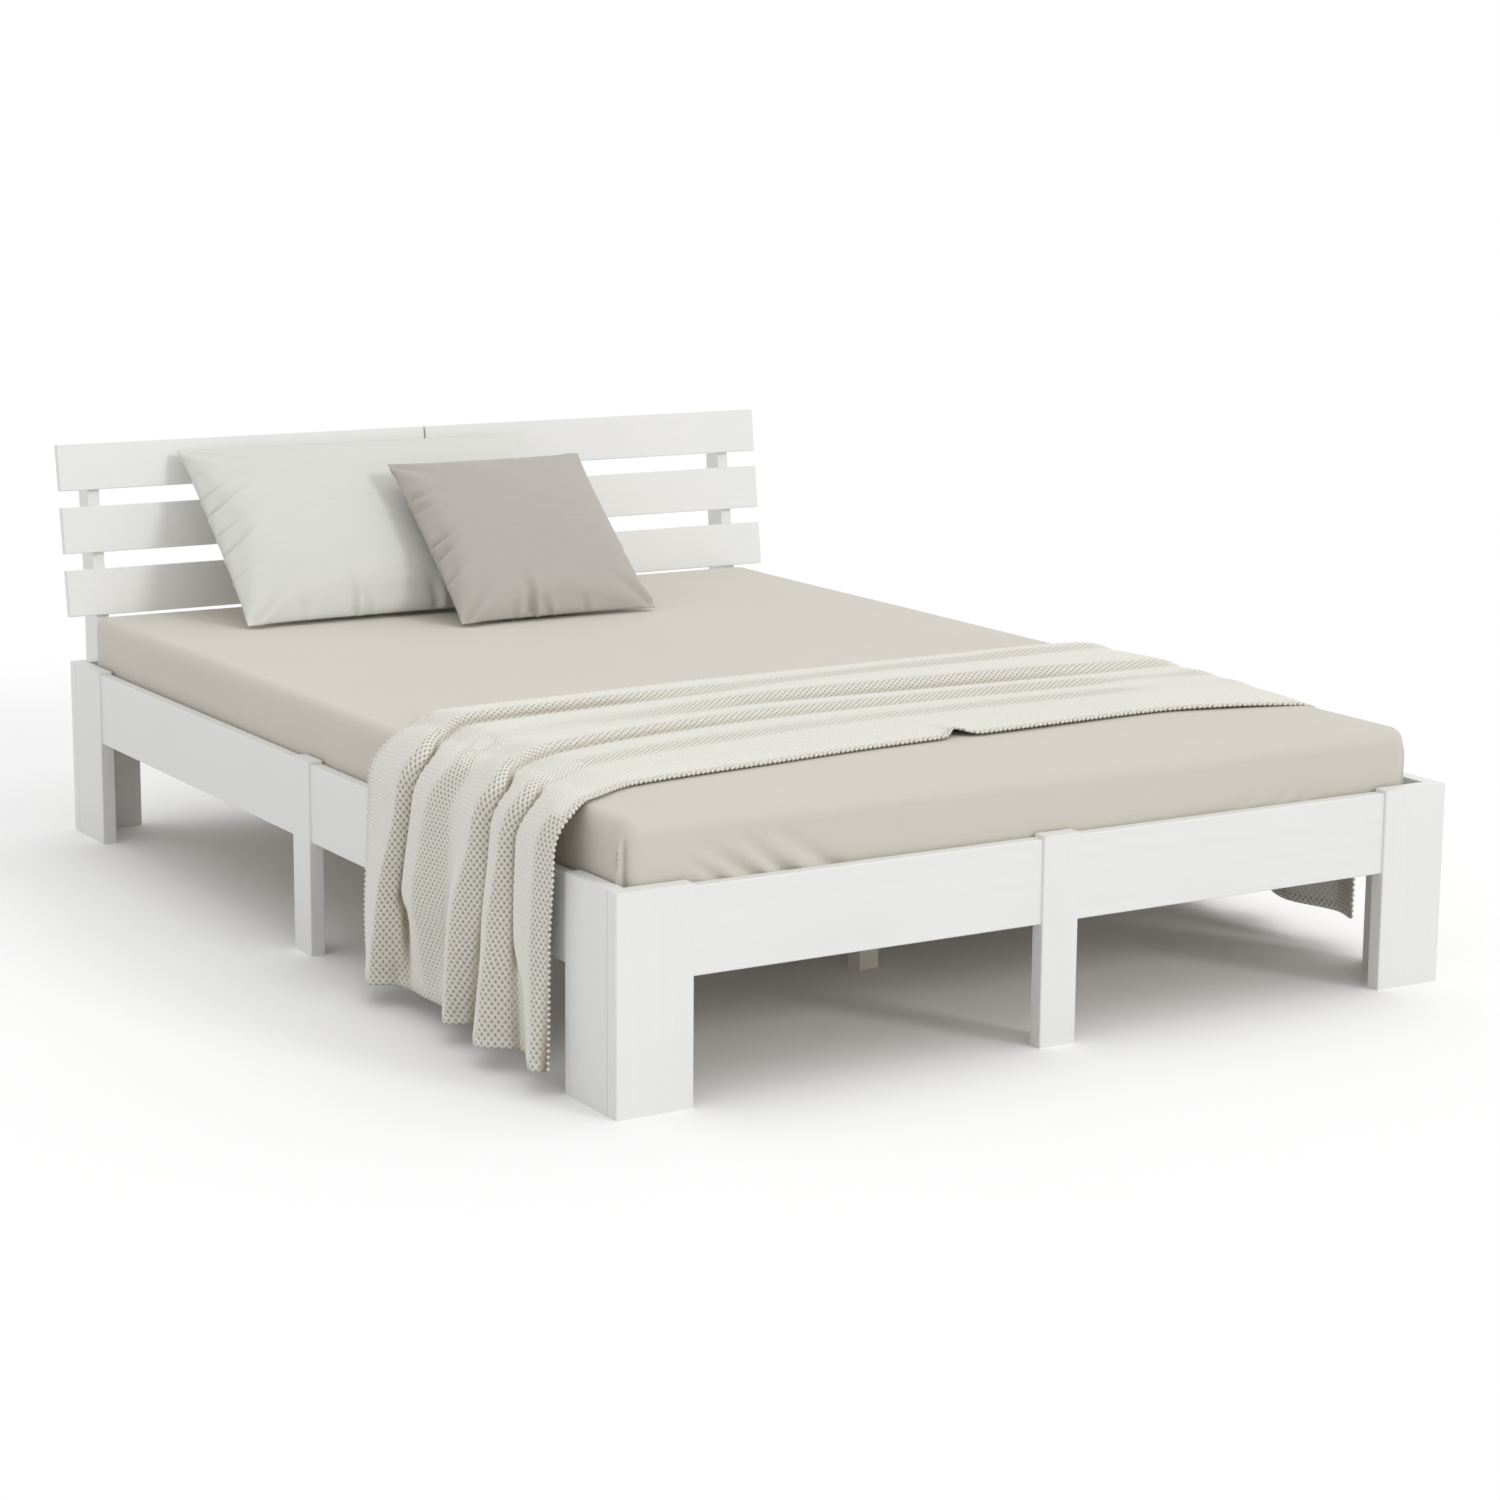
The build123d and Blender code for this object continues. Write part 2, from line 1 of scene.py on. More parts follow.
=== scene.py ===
# Wooden bed, made up: painted frame, mattress, fitted sheet, pillow, cushion and knitted throw.
import math

import bpy
import numpy as np
from mathutils import Matrix, Vector


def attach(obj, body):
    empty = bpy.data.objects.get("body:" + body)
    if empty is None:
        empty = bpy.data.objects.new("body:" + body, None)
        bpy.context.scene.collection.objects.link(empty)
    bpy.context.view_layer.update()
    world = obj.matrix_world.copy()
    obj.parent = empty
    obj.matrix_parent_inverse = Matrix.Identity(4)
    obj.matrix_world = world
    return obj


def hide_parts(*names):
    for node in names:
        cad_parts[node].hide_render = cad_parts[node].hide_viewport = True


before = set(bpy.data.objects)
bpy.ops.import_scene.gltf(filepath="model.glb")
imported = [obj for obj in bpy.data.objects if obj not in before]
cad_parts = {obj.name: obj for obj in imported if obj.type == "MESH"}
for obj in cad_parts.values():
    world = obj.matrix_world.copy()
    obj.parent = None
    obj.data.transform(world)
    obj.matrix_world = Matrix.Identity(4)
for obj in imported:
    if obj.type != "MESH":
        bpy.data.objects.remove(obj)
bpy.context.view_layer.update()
print("frame loaded with", len(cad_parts), "nodes")


def toMode(mode):
    bpy.ops.object.mode_set(mode=mode)


def deselectAll():
    if bpy.context.object and bpy.context.object.mode != "OBJECT":
        toMode("OBJECT")
    bpy.ops.object.select_all(action="DESELECT")


def makeActive(piece):
    deselectAll()
    piece.select_set(True)
    bpy.context.view_layer.objects.active = piece


def readPoints(piece):
    points = np.zeros(len(piece.data.vertices) * 3)
    piece.data.vertices.foreach_get("co", points)
    return points.reshape(-1, 3)


def writePoints(piece, points):
    piece.data.vertices.foreach_set("co", points.ravel())
    piece.data.update()


def readNormals(piece):
    normals = np.zeros(len(piece.data.vertices) * 3)
    piece.data.vertex_normals.foreach_get("vector", normals)
    return normals.reshape(-1, 3)


def nameNew(name):
    # what the last operator made, under its name
    piece = bpy.context.object
    piece.name = piece.data.name = name
    return piece


def addGrid(name, columns, rows):
    # one flat sheet of cells; its column and row numbers are worked out from its places
    deselectAll()
    bpy.ops.mesh.primitive_grid_add(x_subdivisions=columns, y_subdivisions=rows, size=1)
    piece = nameNew(name)
    points = readPoints(piece)
    column = np.rint((points[:, 0] + 0.5) * columns)
    row = np.rint((points[:, 1] + 0.5) * rows)
    return piece, column, row


def writeUv(piece, uv):
    # uv holds one place for each vertex
    layer = piece.data.uv_layers.active or piece.data.uv_layers.new(name="UVMap")
    corners = np.zeros(len(piece.data.loops), dtype=np.int64)
    piece.data.loops.foreach_get("vertex_index", corners)
    layer.data.foreach_set("uv", uv[corners].ravel())


def applyModifiers(piece):
    makeActive(piece)
    for modifier in list(piece.modifiers):
        bpy.ops.object.modifier_apply(modifier=modifier.name)


def shadeSmooth(piece, angle=None):
    makeActive(piece)
    if angle is None:
        bpy.ops.object.shade_smooth()
    else:
        bpy.ops.object.shade_smooth_by_angle(angle=math.radians(angle))


def dress(piece, material):
    piece.data.materials.clear()
    piece.data.materials.append(material)


def writeValues(piece, name, values):
    # one number for each vertex, for a material to read
    layer = piece.data.attributes.new(name, "FLOAT", "POINT")
    layer.data.foreach_set("value", values)


def eased(x):
    x = np.clip(x, 0.0, 1.0)
    return x * x * (3 - 2 * x)


def bell(x):
    return np.exp(-x ** 2)


def pathLength(points, power=1):
    # distance along a line of points; with a power under 1 far points count as nearer
    return np.concatenate([[0], np.cumsum(np.linalg.norm(np.diff(points, axis=0), axis=1) ** power)])


def smoothLine(knots, values, places):
    # cubic through the knots, level where the values turn, so it never overshoots
    gaps = np.diff(knots)
    slopes = np.diff(values, axis=0) / gaps[:, None]
    tangents = np.zeros_like(values)
    before, after = slopes[:-1], slopes[1:]
    same = before * after > 0
    tangents[1:-1] = np.where(same, 2 * before * after / np.where(same, before + after, 1), 0)
    tangents[0], tangents[-1] = slopes[0], slopes[-1]
    k = np.clip(np.searchsorted(knots, places, side="right") - 1, 0, len(knots) - 2)
    t, g = ((places - knots[k]) / gaps[k])[:, None], gaps[k][:, None]
    h00, h10 = 2 * t**3 - 3 * t**2 + 1, t**3 - 2 * t**2 + t
    h01, h11 = -2 * t**3 + 3 * t**2, t**3 - t**2
    return h00 * values[k] + h10 * g * tangents[k] + h01 * values[k + 1] + h11 * g * tangents[k + 1]


def newMaterial(name, colour, roughness):
    material = bpy.data.materials.new(name)
    material.use_nodes = True
    shader = material.node_tree.nodes["Principled BSDF"]
    shader.inputs["Base Color"].default_value = (*colour, 1)
    shader.inputs["Roughness"].default_value = roughness
    return material, material.node_tree, shader


def addNode(tree, kind, settings=None, inputs=None):
    node = tree.nodes.new("ShaderNode" + kind)
    for name, value in (settings or {}).items():
        setattr(node, name, value)
    for name, value in (inputs or {}).items():
        if isinstance(value, bpy.types.NodeSocket):
            tree.links.new(value, node.inputs[name])
        else:
            node.inputs[name].default_value = value
    return node


def doMath(tree, operation, first, second=0.0):
    return addNode(tree, "Math", {"operation": operation}, {0: first, 1: second}).outputs[0]


def multiply(tree, first, second):
    return doMath(tree, "MULTIPLY", first, second)


def mixColour(tree, factor, first, second):
    node = addNode(tree, "Mix", {"data_type": "RGBA"})
    for socket, value in ((0, factor), (6, first), (7, second)):
        if isinstance(value, bpy.types.NodeSocket):
            tree.links.new(value, node.inputs[socket])
        else:
            node.inputs[socket].default_value = value if socket == 0 else (*value, 1)
    return node.outputs[2]


def objectPlaces(tree, scale=(1, 1, 1)):
    places = addNode(tree, "TexCoord").outputs["Object"]
    return addNode(tree, "Mapping", None, {"Vector": places, "Scale": scale}).outputs[0]


def uvPlaces(tree, scale=(1, 1, 1)):
    places = addNode(tree, "UVMap").outputs[0]
    return addNode(tree, "Mapping", None, {"Vector": places, "Scale": scale}).outputs[0]


def noiseAt(tree, places, scale, detail=2.0, roughness=0.5):
    return addNode(tree, "TexNoise", None, {
        "Vector": places, "Scale": scale, "Detail": detail, "Roughness": roughness}).outputs[0]


def noise(tree, scale, detail=2.0):
    return noiseAt(tree, objectPlaces(tree), scale, detail)


def remap(tree, value, low, high, toLow=0.0, toHigh=1.0):
    return addNode(tree, "MapRange", {"interpolation_type": "SMOOTHSTEP"}, {
        0: value, 1: low, 2: high, 3: toLow, 4: toHigh}).outputs[0]


def addShares(tree, *parts):
    # each value times its share, added up
    total = None
    for value, share in parts:
        part = value if share == 1 else multiply(tree, value, share)
        total = part if total is None else doMath(tree, "ADD", total, part)
    return total


def colourFrom(tree, shader, factor, first, second):
    tree.links.new(mixColour(tree, factor, first, second), shader.inputs["Base Color"])


def bumpFrom(tree, shader, height, distance):
    bump = addNode(tree, "Bump", None, {"Height": height, "Distance": distance, "Strength": 1.0})
    tree.links.new(bump.outputs[0], shader.inputs["Normal"])


paintLook = {
    "colour": (0.836, 0.838, 0.820), "thin": (0.818, 0.821, 0.800), "roughness": 0.42,
    "cream": (0.93, 0.90, 0.80), "creamThin": (0.90, 0.87, 0.77), "joint": (0.52, 0.52, 0.50),
    "grainAcross": 120.0, "grainAlong": 3.0, "grainHeight": 0.00009, "peelScale": 420.0, "cloudScale": 4.0,
    # where the two boards of a leg meet, and how far from there their line is full and gone
    "jointY": 1.000, "jointFull": 0.0004, "jointGone": 0.0013,
}


def makePaint(name, axis, colour, thin):
    # satin paint brushed along the board, with the grain just telegraphing through
    look = paintLook
    scale = [look["grainAcross"]] * 3
    scale["XYZ".index(axis)] = look["grainAlong"]
    material, tree, shader = newMaterial(name, colour, look["roughness"])
    grain = noiseAt(tree, objectPlaces(tree, scale), 1.0, 3.0)
    orangePeel = noise(tree, look["peelScale"], 1.0)
    cloudy = noise(tree, look["cloudScale"])
    tone = remap(tree, addShares(tree, (grain, 0.35), (cloudy, 0.65)), 0.36, 0.62)
    coat = mixColour(tree, tone, thin, colour)
    if axis == "Z":
        # the joint between the two boards of each leg shows through the paint as a fine line
        spot = addNode(tree, "TexCoord")
        along = addNode(tree, "SeparateXYZ", None, {0: spot.outputs["Object"]}).outputs[1]
        sideways = addNode(tree, "SeparateXYZ", None, {0: spot.outputs["Normal"]}).outputs[0]
        away = doMath(tree, "SUBTRACT", doMath(tree, "ABSOLUTE", along), look["jointY"])
        line = remap(tree, doMath(tree, "ABSOLUTE", away), look["jointFull"], look["jointGone"], 1.0, 0.0)
        onSide = remap(tree, doMath(tree, "ABSOLUTE", sideways), 0.6, 0.8)
        coat = mixColour(tree, multiply(tree, onSide, line), coat, look["joint"])
    tree.links.new(coat, shader.inputs["Base Color"])
    tree.links.new(remap(tree, grain, 0.3, 0.7, 0.36, 0.50), shader.inputs["Roughness"])
    bumpFrom(tree, shader, addShares(tree, (grain, 1), (orangePeel, 0.25)), look["grainHeight"])
    return material


pineLook = {
    "light": (0.85, 0.77, 0.64), "dark": (0.70, 0.60, 0.46), "roughness": 0.62, "height": 0.00025,
    # the rings' width, how little they change along the board, their unevenness and their number
    "ringWidth": 0.014, "ringAlong": 1.6, "ringScale": 0.55, "ringCount": 26.0, "fibresPerRing": 7,
}


def barePine(axis):
    # planed pine: rings drawn out along the board, each board a little different
    look = pineLook
    material, tree, shader = newMaterial("barePineAlong" + axis, look["light"], look["roughness"])
    scale = [1.0 / look["ringWidth"]] * 3
    scale["XYZ".index(axis)] = look["ringAlong"]
    rings = noiseAt(tree, objectPlaces(tree, scale), look["ringScale"], 3.0, 0.55)
    waves = doMath(tree, "SINE", multiply(tree, rings, look["ringCount"]))
    fibre = noiseAt(tree, objectPlaces(tree, [part * look["fibresPerRing"] for part in scale]), 1.0)
    tone = remap(tree, addShares(tree, (waves, 0.22), (fibre, 1)), 0.2, 0.9)
    colourFrom(tree, shader, tone, look["dark"], look["light"])
    tree.links.new(remap(tree, fibre, 0.3, 0.7, 0.5, 0.72), shader.inputs["Roughness"])
    bumpFrom(tree, shader, tone, look["height"])
    return material


steelLook = {
    "colour": (0.66, 0.67, 0.69), "dull": (0.56, 0.57, 0.60), "bright": (0.72, 0.73, 0.74), "roughness": 0.34,
    "spangleScale": 160.0, "spangleHeight": 0.00008,
}


def zincSteel():
    look = steelLook
    material, tree, shader = newMaterial("zincSteel", look["colour"], look["roughness"])
    shader.inputs["Metallic"].default_value = 1.0
    spangle = noise(tree, look["spangleScale"], 3.0)
    colourFrom(tree, shader, remap(tree, spangle, 0.35, 0.65), look["dull"], look["bright"])
    tree.links.new(remap(tree, spangle, 0.3, 0.7, 0.28, 0.46), shader.inputs["Roughness"])
    bumpFrom(tree, shader, spangle, look["spangleHeight"])
    return material


tapeLook = {
    "colour": (0.82, 0.80, 0.74), "dark": (0.62, 0.60, 0.54), "light": (0.86, 0.84, 0.79), "roughness": 0.85,
    "ribScale": 130.0, "ribHeight": 0.0006,
}


def wovenTape():
    # flat polyester tape: fine ribs across, darker between them
    look = tapeLook
    material, tree, shader = newMaterial("wovenTape", look["colour"], look["roughness"])
    ribs = addNode(tree, "TexWave", {"wave_type": "BANDS", "bands_direction": "Y"}, {
        "Vector": objectPlaces(tree), "Scale": look["ribScale"], "Distortion": 0.4}).outputs[1]
    colourFrom(tree, shader, ribs, look["dark"], look["light"])
    bumpFrom(tree, shader, ribs, look["ribHeight"])
    return material


paint = {axis: makePaint("whitePaintAlong" + axis, axis, paintLook["colour"], paintLook["thin"])
         for axis in "XYZ"}
cream = makePaint("creamPaint", "Z", paintLook["cream"], paintLook["creamThin"])
pine = {axis: barePine(axis) for axis in "XY"}
steel = zincSteel()
tape = wovenTape()

# a node takes the first finish here that lists how its name starts
finishes = (
    (steel, ("beam_stirrups", "beam_splice", "corner_brackets", "mid_leg_plates", "centre_leg_studs",
             "headboard_bolts")),
    (tape, ("slat_webbing",)),
    (cream, ("centre_leg",)),
    (pine["X"], ("bed_slats", "end_batten")),
    (pine["Y"], ("side_batten", "centre_beam")),
    (paint["Y"], ("side_rail",)),
    (paint["X"], ("end_rail", "headboard_board")),
    (paint["Z"], ("",)),
)


for name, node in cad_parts.items():
    dress(node, next(finish for finish, starts in finishes if name.startswith(starts)))
print("frame dressed")


# what all cottons share where a piece's own values don't say otherwise
cottonLook = {
    "roughness": 0.82, "sheen": 0.12, "sheenRoughness": 0.5, "specular": 0.3, "weaveHeight": 0.00012,
    "slub": (14, 190, 1), "cloudScale": 3.0,
}


def wovenCotton(name, look):
    # plain weave seen close up, over soft uneven dyeing; uv is in metres
    look = {**cottonLook, **look}
    material, tree, shader = newMaterial(name, look["colour"], look["roughness"])
    shader.inputs["Sheen Weight"].default_value = look["sheen"]
    shader.inputs["Sheen Roughness"].default_value = look["sheenRoughness"]
    shader.inputs["Specular IOR Level"].default_value = look["specular"]
    places = uvPlaces(tree)
    warp, weft = (addNode(tree, "TexWave", {"bands_direction": way}, {
        "Vector": places, "Scale": look["threads"], "Distortion": 1.0, "Detail": 1.0}).outputs[1]
        for way in "XY")
    slub = noiseAt(tree, uvPlaces(tree, look["slub"]), 1.0)
    cloudy = noise(tree, look["cloudScale"])
    tone = remap(tree, addShares(tree, (slub, 0.5), (cloudy, 0.5)), 0.32, 0.68)
    colourFrom(tree, shader, tone, look["shade"], look["colour"])
    weave = multiply(tree, warp, weft)
    bumpFrom(tree, shader, addShares(tree, (weave, 1), (slub, 0.6)), look["weaveHeight"])
    return material


mattressLook = {
    "low": (-0.695, -0.983, 0.2356), "high": (0.675, 0.980, 0.3965), "cornerRadius": 0.045,
    "edgeRadius": 0.018, "cell": 0.014, "quilt": 0.125, "quiltDepth": 0.0045, "channelWidth": 0.014,
    "borderIn": 0.075, "borderWidth": 0.010, "colour": (0.80, 0.80, 0.77), "shade": (0.70, 0.70, 0.67),
    "roughness": 0.9, "sheen": 0.2, "knitScale": 520.0, "knitHeight": 0.0005, "fuzzScale": 30.0,
}


def bevelEdges(piece, upright, offset, segments):
    # rounds either the upright edges or the level ones
    toMode("EDIT")
    bpy.ops.mesh.select_mode(type="EDGE")
    bpy.ops.mesh.select_all(action="DESELECT")
    toMode("OBJECT")
    for edge in piece.data.edges:
        one, two = (piece.data.vertices[k].co for k in edge.vertices)
        edge.select = (abs(one.z - two.z) > 0.001) == upright
    toMode("EDIT")
    bpy.ops.mesh.bevel(offset=offset, segments=segments)
    bpy.ops.mesh.select_mode(type="VERT")
    toMode("OBJECT")


def knittedTicking(look):
    material, tree, shader = newMaterial("knittedTicking", look["colour"], look["roughness"])
    shader.inputs["Sheen Weight"].default_value = look["sheen"]
    knit = addNode(tree, "TexVoronoi", None, {
        "Vector": objectPlaces(tree), "Scale": look["knitScale"]}).outputs["Distance"]
    fuzz = noise(tree, look["fuzzScale"], 3.0)
    tone = remap(tree, doMath(tree, "ADD", knit, fuzz), 0.5, 1.2)
    colourFrom(tree, shader, tone, look["shade"], look["colour"])
    bumpFrom(tree, shader, knit, look["knitHeight"])
    return material


def makeMattress():
    # a foam block in a quilted cover, seen from under the slats
    look = mattressLook
    low, high = Vector(look["low"]), Vector(look["high"])
    deselectAll()
    bpy.ops.mesh.primitive_cube_add(size=1, location=(low + high) / 2, scale=high - low)
    piece = nameNew("mattressBlock")
    bpy.ops.object.transform_apply(location=True, rotation=True, scale=True)
    bevelEdges(piece, True, look["cornerRadius"], 6)
    bevelEdges(piece, False, look["edgeRadius"], 4)
    remesh = piece.modifiers.new("evenCells", "REMESH")
    remesh.mode, remesh.voxel_size = "VOXEL", look["cell"]
    applyModifiers(piece)
    # stitched channels across both ways inside a border, on the top and the underside
    points, normals = readPoints(piece), readNormals(piece)
    x, y = points[:, 0], points[:, 1]
    level = eased((np.abs(normals[:, 2]) - 0.9) / 0.08)
    channel = np.zeros(len(points))
    for slant in (x + y, x - y):
        off = (slant / look["quilt"] + 0.5) % 1.0 - 0.5
        channel = np.maximum(channel, bell(off * look["quilt"] / look["channelWidth"]))
    inward = np.minimum.reduce([x - low.x, high.x - x, y - low.y, high.y - y])
    channel = np.where(inward < look["borderIn"], 0, channel)
    channel = np.maximum(channel, bell((inward - look["borderIn"]) / look["borderWidth"]))
    points -= normals * (level * channel * look["quiltDepth"])[:, None]
    points[:, 2] = np.clip(points[:, 2], low.z, high.z)
    writePoints(piece, points)
    shadeSmooth(piece)
    dress(piece, knittedTicking(look))
    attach(piece, "mattress")
    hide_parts("mattress")
    print("mattress made:", len(piece.data.polygons), "faces")


def rimCurve(turn, half, reach):
    # place along one side of a rounded rectangle, from corner diagonal to corner diagonal;
    # half is the straight part's half length and reach the corner's radius
    arc = reach * math.pi / 4
    run = turn * (2 * half + 2 * arc)
    safe = np.maximum(reach, 1e-9)
    first = math.pi / 4 - run / safe
    last = (run - 2 * half - arc) / safe
    along = run - arc - half
    out = reach + 0 * turn
    atFirst, atLast = run < arc, run > 2 * half + arc
    along = np.where(atFirst, -half - reach * np.sin(first), along)
    along = np.where(atLast, half + reach * np.sin(last), along)
    out = np.where(atFirst, reach * np.cos(first), out)
    out = np.where(atLast, reach * np.cos(last), out)
    return along, out


def crowded(turn):
    # smaller cells towards both ends, where the corners are
    return turn - sheetLook["crowding"] * np.sin(2 * math.pi * turn) / (2 * math.pi)


def wrapBlock(piece, column, row, columns, rows, inner, profile):
    # lays a flat grid over a block with rounded corners: the middle cells make the top, and
    # each ring outside them follows the block's outline at that ring's reach and height
    halfX, halfY = inner
    reach, height, path = profile
    rings = len(reach) - 1
    ring = np.minimum.reduce([column, columns - column, row, rows - row])
    ring = ring.astype(int)
    inRim = ring < rings
    points = np.zeros((len(column), 3))
    flat = np.zeros((len(column), 2))
    points[:, 0] = (crowded((column - rings) / (columns - 2 * rings)) * 2 - 1) * halfX
    points[:, 1] = (crowded((row - rings) / (rows - 2 * rings)) * 2 - 1) * halfY
    points[:, 2] = height[rings]
    flat[:] = points[:, :2]
    sides = (
        (row == ring, column, columns, halfX, halfY, 0, 1, -1),
        (rows - row == ring, column, columns, halfX, halfY, 0, 1, 1),
        (column == ring, row, rows, halfY, halfX, 1, 0, -1),
        (columns - column == ring, row, rows, halfY, halfX, 1, 0, 1),
    )
    for onSide, place, count, half, across, alongAxis, outAxis, sign in sides:
        here = onSide & inRim
        at = ring[here]
        turn = crowded((place[here] - at) / (count - 2 * at))
        along, out = rimCurve(turn, half, reach[at])
        points[here, alongAxis] = along
        points[here, outAxis] = sign * (across + out)
        points[here, 2] = height[at]
        along, out = rimCurve(turn, half, path[at])
        flat[here, alongAxis] = along
        flat[here, outAxis] = sign * (across + out)
    writePoints(piece, points)
    writeUv(piece, flat)
    return ring


def blockProfile(look):
    # reach beyond the inner rectangle, height and path length, from the hem up to the top
    corner, edge, foot, step = (look[name] for name in ("cornerRadius", "edgeRadius", "footRadius", "cell"))
    drop = look["top"] - look["foot"] - edge - foot
    flatSteps, dropSteps = max(2, round((corner - edge) / step)), round(drop / step)
    tuckSteps = round(look["tuck"] / step)
    edgeTurns, footTurns = ([k / count * math.pi / 2 for k in range(1, count + 1)]
                            for count in (look["edgeSteps"], look["footSteps"]))
    turns = [(0.0, 0.0)]
    turns += [((corner - edge) * k / flatSteps, 0.0) for k in range(1, flatSteps + 1)]
    turns += [(corner - edge + edge * math.sin(a), -edge * (1 - math.cos(a))) for a in edgeTurns]
    turns += [(corner, -edge - drop * k / dropSteps) for k in range(1, dropSteps + 1)]
    turns += [(corner - foot * (1 - math.cos(a)), -edge - drop - foot * math.sin(a)) for a in footTurns]
    turns += [(corner - foot - look["tuck"] * k / tuckSteps, look["foot"] - look["top"])
              for k in range(1, tuckSteps + 1)]
    turns = np.array(turns)
    return turns[::-1, 0], look["top"] + turns[::-1, 1], pathLength(turns)[::-1]


sheetLook = {
    "middle": (-0.01, -0.005), "halfWidth": 0.69, "halfLength": 0.99, "top": 0.4003, "foot": 0.2345,
    "cornerRadius": 0.026, "edgeRadius": 0.024, "footRadius": 0.014, "tuck": 0.045, "cell": 0.0088,
    "edgeSteps": 7, "footSteps": 4, "crowding": 0.70,
    "colour": (0.638, 0.602, 0.530), "shade": (0.618, 0.582, 0.512), "threads": 420.0, "weaveHeight": 0.00006,
    "roughness": 0.62, "sheen": 0.18,
    # slack in the top, fullness of the sides, and where each begins and how softly
    "slack": 0.00072, "topZ": 0.392, "topFade": 0.008,
    "fullness": 0.0012, "sideZ": (0.245, 0.385), "sideFade": 0.03,
    # folds on the foot side: start x z, end x z, depth, width
    "footY": -0.975, "footFade": 0.012,
    "footFolds": [(-0.584, 0.356, -0.498, 0.309, 0.0078, 0.012),
                  (-0.519, 0.362, -0.445, 0.305, 0.0086, 0.013),
                  (-0.463, 0.363, -0.372, 0.307, 0.0074, 0.0145),
                  (-0.601, 0.338, -0.554, 0.309, 0.0052, 0.01),
                  (0.415, 0.314, 0.451, 0.325, 0.0036, 0.009), (0.462, 0.312, 0.494, 0.321, 0.0036, 0.009),
                  (0.340, 0.314, 0.389, 0.324, 0.0030, 0.009)],
    # corner seams: place on the corner and the way it faces; then their height and width, and
    # the depth and width of the hollow beside them and how far off it is
    "cornerFolds": [(-0.6985, -0.9765, -0.94, -0.34), (0.6785, -0.9765, 0.94, -0.34)],
    "seamHeight": 0.0064, "seamWidth": 0.0030, "hollowDepth": 0.0062, "hollowWidth": 0.0034,
    "hollowOff": 0.0075, "seamZ": (0.250, 0.386),
}


def sheetMove(look, points, normals):
    # how far each place of the sheet moves out from the plain block
    x, y, z = points.T
    # broad slack in the top, and the sides a little fuller half way down
    onTop = eased((z - look["topZ"]) / look["topFade"])
    slack = (np.sin(3.1 * x + 2.3 * y + 0.7) * np.sin(4.3 * y - 1.9 * x)
             + 0.5 * np.sin(9.0 * x - 4.0 * y) * np.sin(6.0 * y + 1.0))
    sideLow, sideHigh = look["sideZ"]
    side = eased((sideHigh - z) / look["sideFade"]) * eased((z - sideLow) / look["sideFade"])
    move = onTop * look["slack"] * slack + side * look["fullness"] * np.sin(7.0 * x + 5.0 * y)
    onFoot = eased((look["footY"] - y) / look["footFade"]) * side
    for x1, z1, x2, z2, depth, width in look["footFolds"]:
        run = math.hypot(x2 - x1, z2 - z1)
        dirX, dirZ = (x2 - x1) / run, (z2 - z1) / run
        along = ((x - x1) * dirX + (z - z1) * dirZ) / run
        off = (x - x1) * dirZ - (z - z1) * dirX
        # each fold fades in and out and is deepest at its lower end, with a ridge beside it
        lower = eased(along if z2 < z1 else 1 - along)
        fade = eased((along + 0.25) / 0.4) * eased((1.35 - along) / 0.3) * (0.35 + 0.65 * lower)
        ridge = 0.9 * bell((off - 1.3 * width) / width)
        move += onFoot * depth * fade * (ridge - bell(off / (0.55 * width)))
    # the elastic corner seam stands up as one narrow fold with a hollow beside it
    seamLow, seamHigh = look["seamZ"]
    for foldX, foldY, outX, outY in look["cornerFolds"]:
        beside = (x - foldX) * outY - (y - foldY) * outX
        hollow = beside + math.copysign(look["hollowOff"], -outX)
        near = eased((normals[:, 0] * outX + normals[:, 1] * outY - 0.3) / 0.3)
        near *= eased((seamHigh - z) / look["sideFade"]) * eased((z - seamLow) / look["sideFade"])
        move += near * (look["seamHeight"] * bell(beside / look["seamWidth"])
                        - look["hollowDepth"] * bell(hollow / look["hollowWidth"]))
    return move


def makeSheet():
    look = sheetLook
    profile = blockProfile(look)
    rings = len(profile[0]) - 1
    inner = [look[half] - look["cornerRadius"] for half in ("halfWidth", "halfLength")]
    columns, rows = (round(2 * half / look["cell"]) + 2 * rings for half in inner)
    piece, column, row = addGrid("fittedSheet", columns, rows)
    wrapBlock(piece, column, row, columns, rows, inner, profile)
    points, normals = readPoints(piece), readNormals(piece)
    points[:, :2] += look["middle"]
    points += normals * sheetMove(look, points, normals)[:, None]
    writePoints(piece, points)
    dress(piece, wovenCotton("greigeSateen", look))
    shadeSmooth(piece)
    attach(piece, "mattress")
    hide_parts("fitted_sheet")
    print("fitted sheet laid:", len(piece.data.polygons), "faces")


